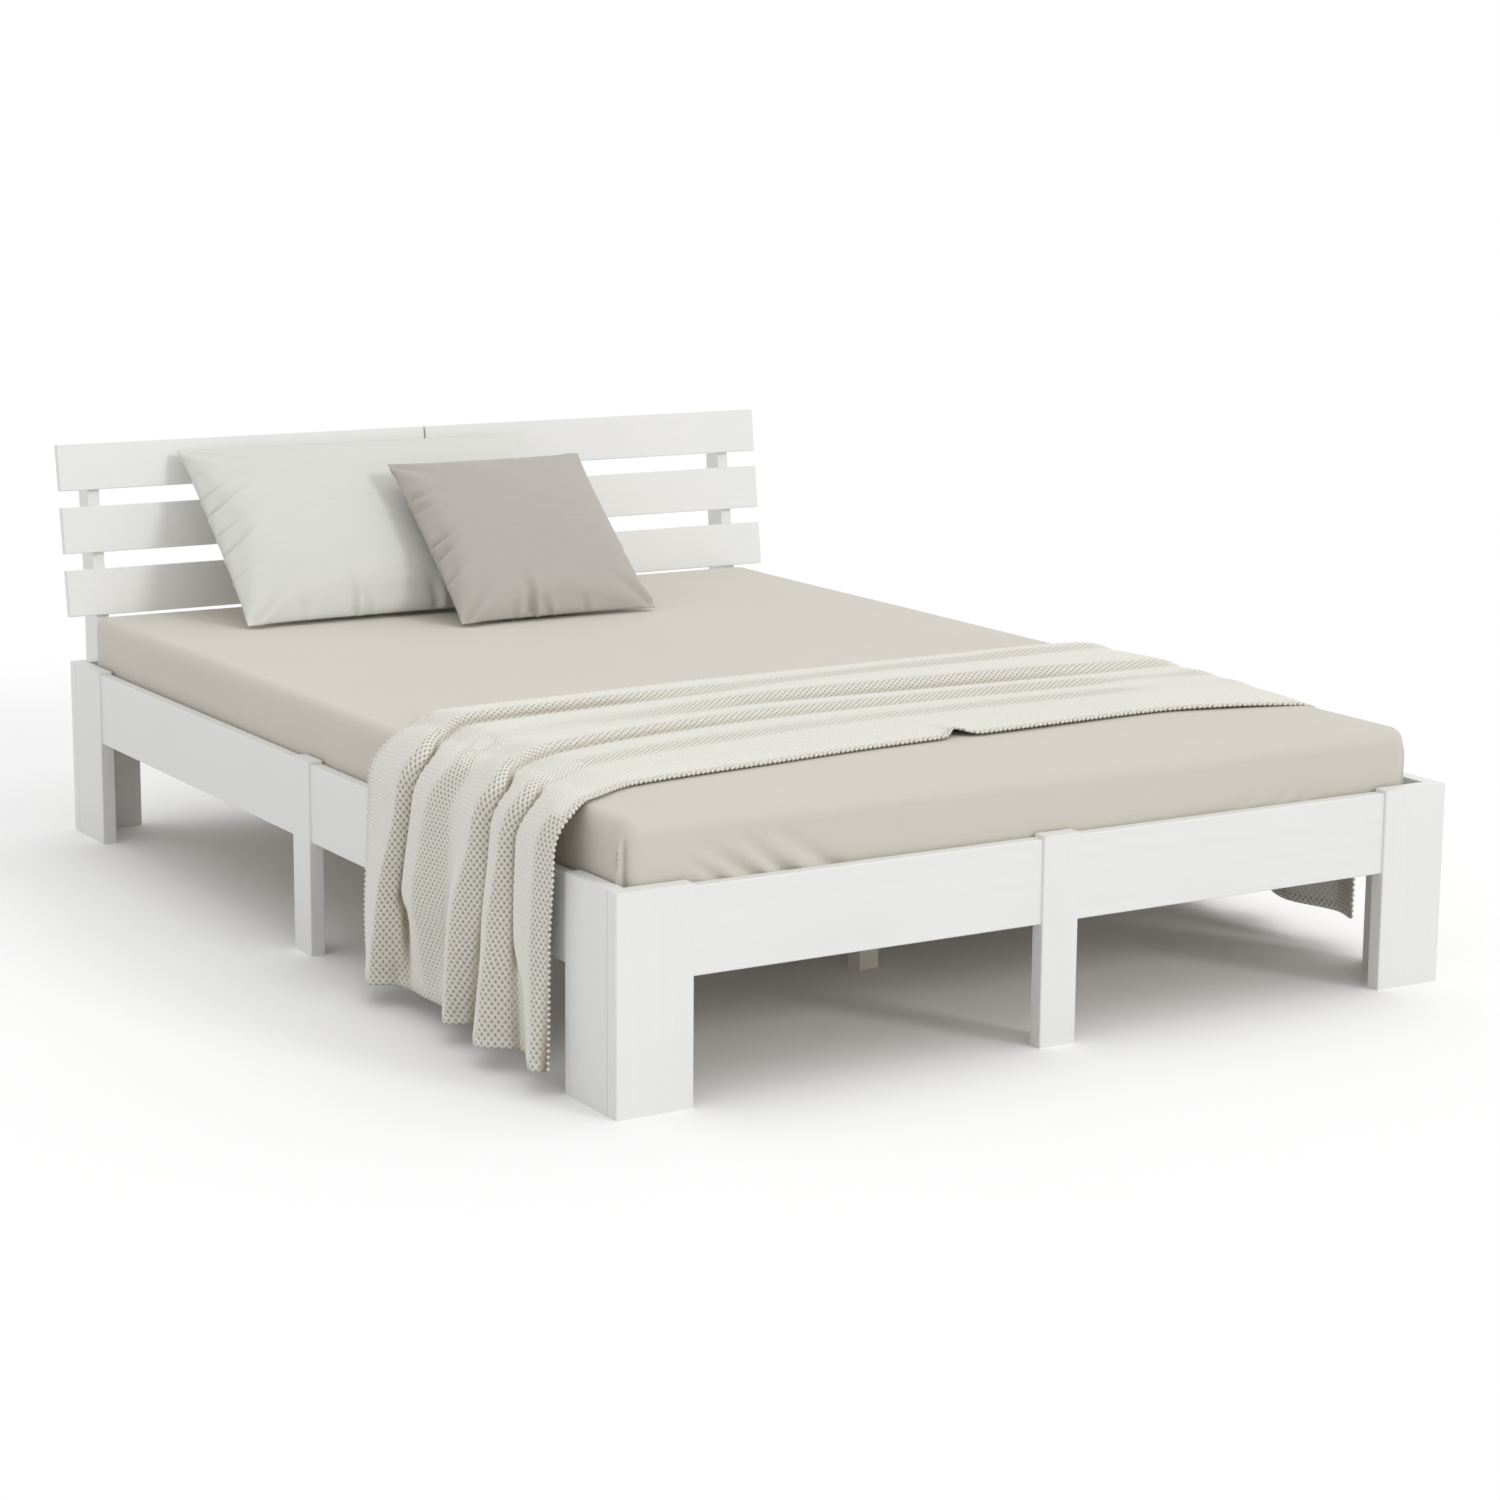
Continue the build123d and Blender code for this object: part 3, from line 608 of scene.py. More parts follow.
pillowLook = {
    "name": "largePillow", "body": "pillow", "node": "pillow_large", "slot": "pillow_cotton",
    "seam": 0.006, "width": 0.706, "height": 0.436, "half": 0.058, "cell": 0.0085, "pinch": 0.006,
    "centre": (-0.168, 0.8648, 0.5465), "lean": 42.0, "turn": 0.0, "bending": 0.2, "fill": 0.55,
    "colour": (0.705, 0.708, 0.668), "shade": (0.685, 0.688, 0.648), "threads": 300.0,
    # creases in the front: x, y, direction in degrees, length, depth, width; in millimetres
    "creases": [(-352.5, 85, 18, 110, 6.2, 8.5), (-352.5, 40, 28, 140, 7.4, 9.5),
                (-352.5, -5, 20, 100, 6, 8.5), (-352.5, -55, 30, 120, 6.4, 9),
                (-352.5, -105, 12, 80, 4.6, 8), (-352.5, 140, 4, 90, 4, 8),
                (-140, -218, 84, 95, 7.2, 8.5), (-105, -218, 100, 60, 4.4, 7.5),
                (30, -218, 96, 80, 4.6, 9), (-245, -218, 70, 60, 3.6, 8),
                (-342.5, -208, 40, 160, 5.4, 11), (-342.5, 208, -36, 140, 3, 11),
                (352.5, 60, 170, 100, 3, 9), (352.5, -40, 186, 90, 2.8, 9),
                (100, 218, -84, 70, 1.4, 8.5), (-160, 218, -98, 60, 1.2, 8.5)],
}
cushionLook = {
    "name": "smallCushion", "body": "cushion", "node": "cushion_small", "slot": "cushion_cotton",
    "seam": 0.005, "width": 0.410, "height": 0.404, "half": 0.046, "cell": 0.0072, "pinch": 0.004,
    "centre": (0.0257, 0.6952, 0.5345), "lean": 41.0, "turn": 0.5, "bending": 0.16, "fill": 0.6,
    "colour": (0.470, 0.440, 0.404), "shade": (0.446, 0.417, 0.382), "threads": 260.0,
    "creases": [(-205, 105, -12, 85, 6, 8), (-205, 70, 2, 60, 4.4, 7.5), (-205, -20, 22, 100, 7.2, 8.8),
                (-205, -55, 34, 80, 5.4, 8.2), (-205, -110, 40, 70, 4.8, 7.8),
                (-56, -202, 88, 95, 7.8, 8), (-96, -202, 74, 60, 4.6, 7.5),
                (-19, -202, 104, 55, 4.2, 7.5), (58, -202, 100, 50, 3.4, 7.5),
                (-196, -193, 44, 130, 5, 10), (196, -193, 136, 130, 4, 10.5),
                (-196, 193, -45, 110, 3.6, 10), (196, 193, -135, 90, 1.4, 10), (205, -60, 175, 60, 1, 8),
                (60, 202, -95, 55, 0.8, 8)],
}
# what pillow and cushion share
fillingLook = {
    "blankRise": 0.005, "quality": 6, "mass": 0.3, "stiffness": 22.0, "damping": 3.0, "pressure": 4.0,
    "frames": 22, "fullAt": 1.05,
    # the even crown's shape and half the seam's thickness, then how much of the blown cloth is
    # blended in, and how far it may pucker
    "crownPower": 2.6, "crownRound": 0.52, "seamHalf": 0.0008, "blownShare": 0.45, "pucker": 0.006,
    "creaseScale": 2.0,
    # the sheet that both rest on, and the boards that stop them
    "sheetZ": 0.4022, "softEdge": 0.010,
    "boardY": 1.018, "boardZ": 0.386, "boardGap": 0.0175, "boardLean": 7.8,
}


def leanMatrix(look):
    lean, turn = math.radians(look["lean"]), math.radians(look["turn"])
    across = Vector((math.cos(turn), math.sin(turn), 0))
    up = Vector((-math.sin(turn) * math.cos(lean), math.cos(turn) * math.cos(lean), math.sin(lean)))
    out = across.cross(up)
    matrix = Matrix((across, up, out)).transposed().to_4x4()
    matrix.translation = look["centre"]
    return matrix


def sewBlank(look):
    # front and back cut alike and joined all round, lying nearly flat
    columns, rows = round(look["width"] / look["cell"]), round(look["height"] / look["cell"])
    piece, column, row = addGrid(look["name"], columns, rows)
    u, v = column / columns * 2 - 1, row / rows * 2 - 1
    x = u * (look["width"] / 2 - look["pinch"] * (1 - v * v) * np.abs(u) ** 3)
    y = v * (look["height"] / 2 - look["pinch"] * (1 - u * u) * np.abs(v) ** 3)
    rise = fillingLook["blankRise"] * ((1 - u**2) * (1 - v**2)) ** 0.5
    writePoints(piece, np.stack([x, y, rise], axis=1))
    writeUv(piece, np.stack([x, y], axis=1))
    makeActive(piece)
    toMode("EDIT")
    bpy.ops.mesh.select_all(action="SELECT")
    bpy.ops.mesh.duplicate()
    bpy.ops.mesh.flip_normals()
    toMode("OBJECT")
    points = readPoints(piece)
    points[len(u):, 2] *= -1
    writePoints(piece, points)
    toMode("EDIT")
    bpy.ops.mesh.select_all(action="SELECT")
    bpy.ops.mesh.remove_doubles(threshold=0.00005)
    toMode("OBJECT")
    return piece


def fillBlank(look, piece):
    # the cloth is blown up until it is as thick as the filling
    filling = fillingLook
    cloth = piece.modifiers.new("filling", "CLOTH")
    cloth.settings.quality = filling["quality"]
    cloth.settings.mass = filling["mass"]
    cloth.settings.tension_stiffness = cloth.settings.compression_stiffness = filling["stiffness"]
    cloth.settings.shear_stiffness = filling["stiffness"] / 2
    cloth.settings.bending_stiffness = look["bending"]
    cloth.settings.air_damping = filling["damping"]
    cloth.settings.use_pressure = True
    cloth.settings.uniform_pressure_force = filling["pressure"]
    cloth.settings.effector_weights.gravity = 0
    cloth.collision_settings.use_collision = False
    for step in range(1, filling["frames"] + 1):
        bpy.context.scene.frame_set(step)
        shown = piece.evaluated_get(bpy.context.evaluated_depsgraph_get())
        thickest = max(abs(point.co.z) for point in shown.data.vertices)
        if thickest > filling["fullAt"] * look["half"]:
            break
    applyModifiers(piece)
    bpy.context.scene.frame_set(1)
    print(look["name"], "filled by step", step, "to", round(thickest, 4))


def shapeFilling(look, piece):
    # an even crown inside a narrow flat seam allowance, blended with the blown cloth
    filling = fillingLook
    cut = readPoints(piece)
    crown = np.ones(len(cut))
    for axis, size in enumerate((look["width"], look["height"])):
        inward = np.clip(np.abs(cut[:, axis] / (size / 2)) * (1 + 2 * look["seam"] / size), 0, 1)
        crown *= 1 - inward ** filling["crownPower"]
    crown **= filling["crownRound"]
    shape = cut.copy()
    shape[:, 2] = np.sign(cut[:, 2]) * (crown * look["half"] + filling["seamHalf"])
    fillBlank(look, piece)
    blown = readPoints(piece)
    blown[:, 2] *= look["half"] / max(look["half"], np.abs(blown[:, 2]).max())
    share, pucker = filling["blownShare"], filling["pucker"]
    shape[:, 2] = np.where(crown > 0, share * blown[:, 2] + (1 - share) * shape[:, 2], shape[:, 2])
    shape[:, :2] = cut[:, :2] + np.clip(0.5 * (blown[:, :2] - cut[:, :2]), -pucker, pucker)
    writePoints(piece, shape)


def creaseMove(look, points):
    # each crease fades and widens from its start at a seam, with a ridge beside it
    move = np.zeros(len(points))
    for x, y, degrees, *sizes in look["creases"]:
        x, y, length, depth, width = (part / 1000 for part in (x, y, *sizes))
        dirX, dirY = math.cos(math.radians(degrees)), math.sin(math.radians(degrees))
        along = ((points[:, 0] - x) * dirX + (points[:, 1] - y) * dirY) / length
        off = (points[:, 0] - x) * dirY - (points[:, 1] - y) * dirX + 0.10 * length * along**2
        spread = width * (0.62 + np.clip(along, 0, 1))
        fade = eased((along + 0.02) / 0.12) * np.clip(1 - along, 0, 1) ** 1.3
        ridge = 0.75 * bell((off - 1.7 * spread) / spread)
        move += depth * fade * (ridge - bell(off / spread))
    return move * fillingLook["creaseScale"]


def leanBack(look, points):
    # lean it back, rest its foot on the sheet and stop it at the boards
    filling = fillingLook
    matrix = np.array(leanMatrix(look))
    points = points @ matrix[:3, :3].T + matrix[:3, 3]
    low, soft = points[:, 2] - filling["sheetZ"], filling["softEdge"]
    low = np.where(low < soft, soft * np.exp(np.minimum(low - soft, 0) / soft), low)
    points[:, 2] = filling["sheetZ"] + low
    behind = (points[:, 2] - filling["boardZ"]) * math.tan(math.radians(filling["boardLean"]))
    points[:, 1] = np.minimum(points[:, 1], filling["boardY"] + behind - filling["boardGap"])
    return points


def makeCushion(look):
    piece = sewBlank(look)
    shapeFilling(look, piece)
    finer = piece.modifiers.new("finer", "SUBSURF")
    finer.levels = finer.render_levels = 1
    applyModifiers(piece)
    points, normals = readPoints(piece), readNormals(piece)
    front = eased((normals[:, 2] + 0.1) / 0.2)
    points += normals * (creaseMove(look, points) * front)[:, None]
    writePoints(piece, leanBack(look, points))
    shadeSmooth(piece)
    dress(piece, wovenCotton(look["name"] + "Cotton", look))
    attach(piece, look["body"])
    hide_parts(look["node"])
    print(look["name"], "placed:", len(piece.data.polygons), "faces")


throwLook = {
    "columns": 340, "rows": 142, "flatWidth": 0.76, "flatLength": 2.15, "thickness": 0.0032,
    "topZ": 0.4068, "leftTurnX": 0.681, "leftRadius": 0.070, "hemLeft": 0.034,
    "rightTurnX": 0.650, "rightRadius": 0.090, "hemRight": 0.052, "fineSteps": 420,
    # where the foot edge is caught up: x, push towards the head, lift, reach along and across
    "caughtUp": (0.026, 0.020, 0.008, 0.019, 0.03),
    # the cells: depth, how much of it shut ones keep, the plain strip at the foot edge, and the
    # cells that stay open at the hems
    "pitDepth": 0.0016, "shutShare": 0.42, "plainEdge": 0.040, "plainFade": 0.03,
    "hemCells": 2.5, "hemOpening": 0.8,
    # how deep the broad hollows and the narrow creases between folds are where their painted shade is full
    "hollowDepth": 0.0055, "broadShadeShare": 0.45, "creaseShadeDepth": 0.0060,
    # yarn is the knit's own colour; the next two are painted shade: in the knit's pits, and in the hollows
    # and creases between folds
    "yarn": (0.855, 0.842, 0.775), "pitShadeColour": (0.45, 0.39, 0.27), "hollow": (0.34, 0.29, 0.20),
    "roughness": 0.9, "specular": 0.2, "sheen": 0.15, "fuzzScale": 9.0, "reliefHeight": 0.0016,
    "beadRadius": 0.0026, "beadPitch": 0.0086, "beadEnd": 0.004, "beadDepth": 0.0012, "beadOut": 0.0014,
    "beadShade": 0.86, "beadFuzz": 900.0, "beadHeight": 0.0004,
}

# down the length, in millimetres: distance from the left hem, then 14 places across from the
# head side to the foot side, first each one's y and then its height off the bed
throwStations = (
    (0, (-256, -340, -368, -398, -434, -503, -589, -616, -626, -714, -764, -776, -858, -876),
     (-14, 24, -10, -18, -16, -18, 20, -17, -18, 34, -12, -12, 22, 5)),
    (100, (-272, -362, -386, -392, -448, -525, -598, -640, -649, -712, -760, -770, -842, -874),
     (-4, 23, -10, -20, -2, -16, 19, -14, -14, 22, -10, -10, 14, 2)),
    (165, (-287, -378, -402, -408, -464, -552, -606, -660, -666, -712, -757, -763, -832, -873),
     (0, 21, -13, -3, 13, -4, 17, -14, -5, 14, -13, -4, 11, 1)),
    (300, (-300, -424, -443, -448, -502, -585, -664, -692, -697, -746, -770, -775, -840, -884),
     (0, 14, -18, -2, 10, 0, 13, -18, -2, 10, -15, -1, 8, 0)),
    (360, (-305, -430, -459, -464, -525, -592, -672, -703, -708, -752, -787, -792, -846, -886),
     (0, 15, -7, 3, 9, 1, 13, -7, 3, 9, -6, 3, 7, 1)),
    (414, (-285, -386, -409, -419, -476, -542, -620, -646, -656, -702, -744, -757, -812, -858),
     (0, 16, 1, 1, 8, 3, 14, 1, 1, 9, 3, 2, 5, 1)),
    (520, (-176, -284, -301, -311, -376, -456, -542, -566, -577, -632, -685, -702, -755, -797),
     (0, 15, 2, 1, 7, 3, 13, 1, 1, 8, 3, 3, 5, 0)),
    (750, (-159, -258, -273, -284, -346, -411, -484, -506, -517, -577, -630, -655, -715, -766),
     (0, 14, 2, 1, 7, 2, 12, 1, 1, 8, 3, 4, 5, 0)),
    (1000, (-142, -222, -252, -263, -340, -372, -450, -482, -496, -548, -600, -630, -690, -737),
     (0, 9, 4, 3, 13, 1, 11, 1, 2, 8, 4, 4, 5, 0)),
    (1250, (-137, -200, -236, -262, -356, -386, -450, -488, -505, -545, -590, -625, -680, -725),
     (0, 8, 4, 5, 16, 1, 9, 2, 4, 8, 4, 5, 5, 1)),
    (1500, (-131, -190, -226, -258, -374, -406, -467, -500, -520, -548, -590, -630, -675, -711),
     (0, 8, 3, 6, 17, 2, 10, 3, 5, 8, 4, 5, 5, 0)),
    (1620, (-133, -187, -225, -268, -381, -422, -475, -515, -538, -562, -605, -650, -700, -735),
     (1, 10, 4, 8, 15, 4, 9, 6, 6, 8, 6, 5, 4, 1)),
    (1744, (-148, -195, -235, -290, -385, -430, -488, -530, -552, -575, -625, -670, -725, -770),
     (3, 10, 6, 9, 12, 5, 9, 5, 6, 7, 4, 3, 1, -2)),
    (1815, (-158, -200, -240, -300, -388, -435, -495, -535, -560, -585, -635, -680, -740, -792),
     (5, 12, 5, 7, 10, 2, 5, 1, 1, 2, -3, -6, -9, -12)),
    (1886, (-165, -205, -250, -308, -390, -440, -470, -505, -535, -565, -615, -662, -748, -802),
     (6, 16, 6, 4, 16, 2, -2, 4, 10, 14, 3, -2, 4, -2)),
    (2000, (-155, -200, -246, -305, -388, -442, -472, -505, -537, -568, -618, -666, -755, -812),
     (4, 22, 6, 0, 24, 2, -3, 6, 18, 24, 6, -3, 12, 2)),
    (2151, (-140, -195, -240, -300, -385, -440, -470, -500, -535, -568, -620, -668, -762, -816),
     (-2, 28, 6, -7, 30, 0, -7, -4, 16, 30, 4, -7, 14, -2)),
)

def throwProfile(count):
    # evenly spaced places over the bed from the left hem to the right one: distance, x, z and
    # the way off the bed
    look = throwLook
    left, leftRadius = -look["leftTurnX"], look["leftRadius"]
    right, rightRadius = look["rightTurnX"], look["rightRadius"]
    leftEdge, rightEdge = look["topZ"] - leftRadius, look["topZ"] - rightRadius
    lengths = [leftEdge - look["hemLeft"], leftRadius * math.pi / 2, right - left,
               rightRadius * math.pi / 2, rightEdge - look["hemRight"]]
    ends = np.concatenate([[0], np.cumsum(lengths)])
    places = []
    for s in np.linspace(0, ends[-1], count):
        if s < ends[1]:
            place = (left - leftRadius, look["hemLeft"] + s, -1.0, 0.0)
        elif s < ends[2]:
            turn = (s - ends[1]) / leftRadius
            outX, outZ = -math.cos(turn), math.sin(turn)
            place = (left + leftRadius * outX, leftEdge + leftRadius * outZ, outX, outZ)
        elif s < ends[3]:
            place = (s - ends[2] + left, look["topZ"], 0.0, 1.0)
        elif s < ends[4]:
            turn = (s - ends[3]) / rightRadius
            outX, outZ = math.sin(turn), math.cos(turn)
            place = (right + rightRadius * outX, rightEdge + rightRadius * outZ, outX, outZ)
        else:
            place = (right + rightRadius, rightEdge - (s - ends[4]), 1.0, 0.0)
        places.append((s, *place))
    return np.array(places)


def foldThrow(look, profile):
    # the cloth and its height off the bed, at every column and row
    stations = np.array([distance for distance, _, _ in throwStations]) / 1000
    control = np.array([list(zip(across, heights)) for _, across, heights in throwStations]) / 1000
    shapes = smoothLine(stations, control.reshape(len(stations), -1), profile[:, 0])
    shapes = shapes.reshape(len(profile), -1, 2)
    caughtX, push, lift, reachAlong, reachAcross = look["caughtUp"]
    surface = np.zeros((len(profile), look["rows"] + 1, 3))
    heights = np.zeros((len(profile), look["rows"] + 1))
    for k, (_, x, z, outX, outZ) in enumerate(profile):
        chord = pathLength(shapes[k], 0.7)
        fine = smoothLine(chord, shapes[k], np.linspace(0, chord[-1], look["fineSteps"]))
        length = pathLength(fine)
        even = np.linspace(0, length[-1], look["rows"] + 1)
        y, h = np.interp(even, length, fine[:, 0]), np.interp(even, length, fine[:, 1])
        caught = math.exp(-((x - caughtX) / reachAlong) ** 2) * np.exp(-(length[-1] - even) / reachAcross)
        y, h = y + push * caught, h + lift * caught
        surface[k] = np.stack([x + outX * h, y, z + outZ * h], axis=1)
        heights[k] = h
    return surface, heights


def openCellsAndPitShade(look, normals, row, edge):
    # how open the knit's cells are: wide where a fold falls away towards the foot end, less so on its other
    # flank, and shut between the folds and along the foot edge; it sets how deep the real pits are and how
    # dark the painted shade in them is, so flanks facing the foot end are painted darker
    openingAndPitShade = eased(-normals[:, 1] / 0.17) + 0.6 * eased((normals[:, 1] - 0.3) / 0.3)
    fromFootEdge = row / look["rows"] * look["flatWidth"]
    plain = eased((fromFootEdge - look["plainEdge"]) / look["plainFade"])
    openingAndPitShade *= np.where(normals[:, 2] > 0.7, plain, 1.0)
    return np.where(edge < look["hemCells"], look["hemOpening"], openingAndPitShade)


def foldShadeAmounts(look, heights):
    # painted shade for the folds: how far each place lies below the cloth on both sides of it, broadly and
    # close by, turned into how dark its colour is painted there
    padded = np.pad(heights, ((0, 0), (4, 4)), mode="edge")
    count = heights.shape[1]

    def beside(rows):
        return padded[:, 4 + rows:4 + rows + count]

    broad = sum(beside(rows) for rows in range(-4, 5)) / 9 - heights
    narrow = np.maximum(*[(beside(k - 2) + beside(k + 2)) / 2 - beside(k) for k in (0, 1)])
    hollow = look["broadShadeShare"] * eased(broad / look["hollowDepth"]) + eased(narrow / look["creaseShadeDepth"])
    return np.clip(hollow, 0, 1)


def makeThrow():
    look = throwLook
    columns, rows = look["columns"], look["rows"]
    piece, column, row = addGrid("knitThrow", columns, rows)
    profile = throwProfile(columns + 1)
    surface, heights = foldThrow(look, profile)
    here = column.astype(int), rows - row.astype(int)
    points = surface[here]
    writePoints(piece, points)
    writeUv(piece, np.stack([column, row], axis=1) / 2)
    normals = readNormals(piece)
    edge = np.minimum.reduce([column, columns - column, row, rows - row])
    openingAndPitShade = openCellsAndPitShade(look, normals, row, edge)
    # how open each cell is, which also sets how dark its pit is painted, as shade
    writeValues(piece, "cellOpeningAndPitShade", openingAndPitShade)
    # how dark the folds' hollows and creases are painted, as shade
    writeValues(piece, "paintedFoldShade", foldShadeAmounts(look, heights)[here])
    # every other place stands out and those between sink in, but not at the very hem
    pits = np.where((column + row) % 2 == 0, 1.0, -1.0)
    depth = look["pitDepth"] * (look["shutShare"] + (1 - look["shutShare"]) * openingAndPitShade)
    points += normals * (pits * depth * eased((edge - 0.5) / 1.5))[:, None]
    writePoints(piece, points)
    solid = piece.modifiers.new("thickness", "SOLIDIFY")
    solid.thickness = look["thickness"]
    solid.offset = -1
    applyModifiers(piece)
    shadeSmooth(piece)
    dress(piece, honeycombKnit(look))
    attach(piece, "throw")
    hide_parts("throw")
    beads = addBeads(surface, profile)
    print("throw laid:", len(piece.data.polygons), "faces")


def joinCopies(first, places):
    # the first piece and its copies at the other places, joined; a place is a 4x4 matrix
    for place in places[1:]:
        twin = first.copy()
        twin.data = first.data.copy()
        twin.matrix_world = place
        bpy.context.collection.objects.link(twin)
        twin.select_set(True)
    first.matrix_world = places[0]
    first.select_set(True)
    bpy.context.view_layer.objects.active = first
    bpy.ops.object.join()
    bpy.ops.object.transform_apply(location=True, rotation=True, scale=True)
    return first


def addBeads(surface, profile):
    # the whipped edge: a row of small knots of yarn along both long edges
    look = throwLook
    off = np.stack([profile[:, 3], 0 * profile[:, 3], profile[:, 4]], axis=1)
    places = []
    for side, outward in ((0, 1), (-1, -1)):
        line = surface[:, side] - look["beadDepth"] * off
        line[:, 1] += outward * look["beadOut"]
        length = pathLength(line)
        for at in np.arange(look["beadEnd"], length[-1] - look["beadEnd"], look["beadPitch"]):
            places.append(Matrix.Translation([np.interp(at, length, line[:, k]) for k in range(3)]))
    deselectAll()
    bpy.ops.mesh.primitive_uv_sphere_add(segments=8, ring_count=5, radius=look["beadRadius"])
    beads = nameNew("throwEdge")
    beads = joinCopies(beads, places)
    material, tree, shader = newMaterial("edgeYarn", look["yarn"], look["roughness"])
    fuzz = noise(tree, look["beadFuzz"])
    darker = [look["beadShade"] * channel for channel in look["yarn"]]
    colourFrom(tree, shader, remap(tree, fuzz, 0.35, 0.65), darker, look["yarn"])
    bumpFrom(tree, shader, fuzz, look["beadHeight"])
    dress(beads, material)
    shadeSmooth(beads)
    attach(beads, "throw")
    return beads


def honeycombKnit(look):
    # uv counts the cells, whose pits are painted darker, as shade, the more they are open; the hollows
    # between folds are painted darker too
    material, tree, shader = newMaterial("honeycombKnit", look["yarn"], look["roughness"])
    shader.inputs["Specular IOR Level"].default_value = look["specular"]
    shader.inputs["Sheen Weight"].default_value = look["sheen"]
    places = addNode(tree, "SeparateXYZ", None, {0: uvPlaces(tree)})
    waveU, waveV = (doMath(tree, "COSINE", multiply(tree, places.outputs[k], 2 * math.pi))
                    for k in (0, 1))
    fuzz = noiseAt(tree, uvPlaces(tree), look["fuzzScale"], 3.0)
    lattice = addShares(tree, (multiply(tree, waveU, waveV), 1), (fuzz, 0.3))
    # how open the cells are, and so how much painted shade their pits take
    openingAndPitShade = addNode(tree, "Attribute", {"attribute_name": "cellOpeningAndPitShade"}).outputs["Fac"]
    # painted shade in the hollows and creases between folds
    foldShadeFactor = addNode(tree, "Attribute", {"attribute_name": "paintedFoldShade"}).outputs["Fac"]
    # how much of the painted pit shade shows at each place
    depth = multiply(tree, remap(tree, lattice, -0.75, 0.05, 1.0, 0.0),
                   remap(tree, openingAndPitShade, 0.0, 1.0, 0.24, 1.0))
    colourFrom(tree, shader, depth, mixColour(tree, foldShadeFactor, look["yarn"], look["hollow"]), look["pitShadeColour"])
    relief = multiply(tree, remap(tree, lattice, -0.9, 0.5),
                    remap(tree, openingAndPitShade, 0.0, 1.0, 0.70, 1.0))
    bumpFrom(tree, shader, addShares(tree, (relief, 1), (fuzz, 0.25)), look["reliefHeight"])
    return material


screwLook = {
    "radius": 0.0045, "height": 0.0022, "roundEdge": 0.00135, "rim": 0.0003,
    "armLong": 0.0026, "armShort": 0.0012, "recess": 0.0009,
    # along each bracket from its corner, along each flat plate from its middle, and along each
    # half batten from the middle of the bed
    "bracketSteps": (0.030, 0.070, 0.115, 0.147), "plateSteps": (0.016, 0.055, 0.084),
    "sideSteps": (0.06, 0.24, 0.42, 0.60, 0.78, 0.93), "endSteps": (0.10, 0.27, 0.44, 0.61),
    "steelZ": 0.260, "battenZ": 0.201, "innerX": 0.705, "innerY": 1.000, "steel": 0.002, "batten": 0.030,
    "flangeX": 0.0275, "flangeY": 0.9685, "flangeZ": (0.1815, 0.1975),
    # backs of the headboard posts: x places, then y and z of the three rows
    "postX": (-0.667, -0.012, 0.012, 0.667), "postRows": ((1.0818, 0.437), (1.0898, 0.550), (1.0978, 0.663)),
    "postLean": 7.8,
}


def screwPlace(place, facing):
    matrix = Vector(facing).to_track_quat("Z", "Y").to_matrix().to_4x4()
    matrix.translation = place
    return matrix


def screwPlaces():
    # where each head sits and the way it faces
    look = screwLook
    steelX, steelY = look["innerX"] - look["steel"], look["innerY"] - look["steel"]
    battenX, battenY = look["innerX"] - look["batten"], look["innerY"] - look["batten"]
    steelZ, battenZ = look["steelZ"], look["battenZ"]
    places = []
    for x in (-1, 1):
        for y in (-1, 1):
            for step in look["bracketSteps"]:
                places.append(((x * (look["innerX"] - step), y * steelY, steelZ), (0, -y, 0)))
                places.append(((x * steelX, y * (look["innerY"] - step), steelZ), (-x, 0, 0)))
            for step in look["plateSteps"]:
                places.append(((x * step, y * steelY, steelZ), (0, -y, 0)))
                places.append(((x * steelX, y * step, steelZ), (-x, 0, 0)))
            for step in look["sideSteps"]:
                places.append(((x * battenX, y * step, battenZ), (-x, 0, 0)))
            for step in look["endSteps"]:
                places.append(((x * step, y * battenY, battenZ), (0, -y, 0)))
            for z in look["flangeZ"]:
                places.append(((x * look["flangeX"], y * look["flangeY"], z), (0, -y, 0)))
    lean = math.radians(look["postLean"])
    for x in look["postX"]:
        for y, z in look["postRows"]:
            places.append(((x, y, z), (0, math.cos(lean), -math.sin(lean))))
    return [screwPlace(*place) for place in places]


def makeScrews():
    # pan heads with a cross recess; one is modelled and copied
    look = screwLook
    deselectAll()
    bpy.ops.mesh.primitive_cylinder_add(vertices=16, radius=look["radius"], depth=look["height"],
                                        location=(0, 0, look["height"] / 2))
    screw = nameNew("frameScrews")
    bpy.ops.object.transform_apply(location=True, rotation=True, scale=True)

    def pickTop():
        toMode("OBJECT")
        for face in screw.data.polygons:
            face.select = face.normal.z > 0.99
        toMode("EDIT")

    toMode("EDIT")
    bpy.ops.mesh.select_mode(type="FACE")
    pickTop()
    bpy.ops.mesh.bevel(offset=look["roundEdge"], segments=2)
    pickTop()
    bpy.ops.mesh.inset(thickness=look["rim"])
    toMode("OBJECT")
    top = next(face for face in screw.data.polygons if face.normal.z > 0.99 and len(face.vertices) > 4)
    for number in top.vertices:
        point = screw.data.vertices[number].co
        angle = math.atan2(point.y, point.x)
        reach = look["armLong"] if abs(math.cos(2 * angle)) > 0.8 else look["armShort"]
        point.x, point.y = reach * math.cos(angle), reach * math.sin(angle)
    toMode("EDIT")
    bpy.ops.mesh.extrude_region_move(TRANSFORM_OT_translate={"value": (0, 0, -look["recess"])})
    toMode("OBJECT")
    screw.select_set(True)
    places = screwPlaces()
    screw = joinCopies(screw, places)
    shadeSmooth(screw, 35)
    dress(screw, steel)
    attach(screw, "frame")
    print("screws placed:", len(places))


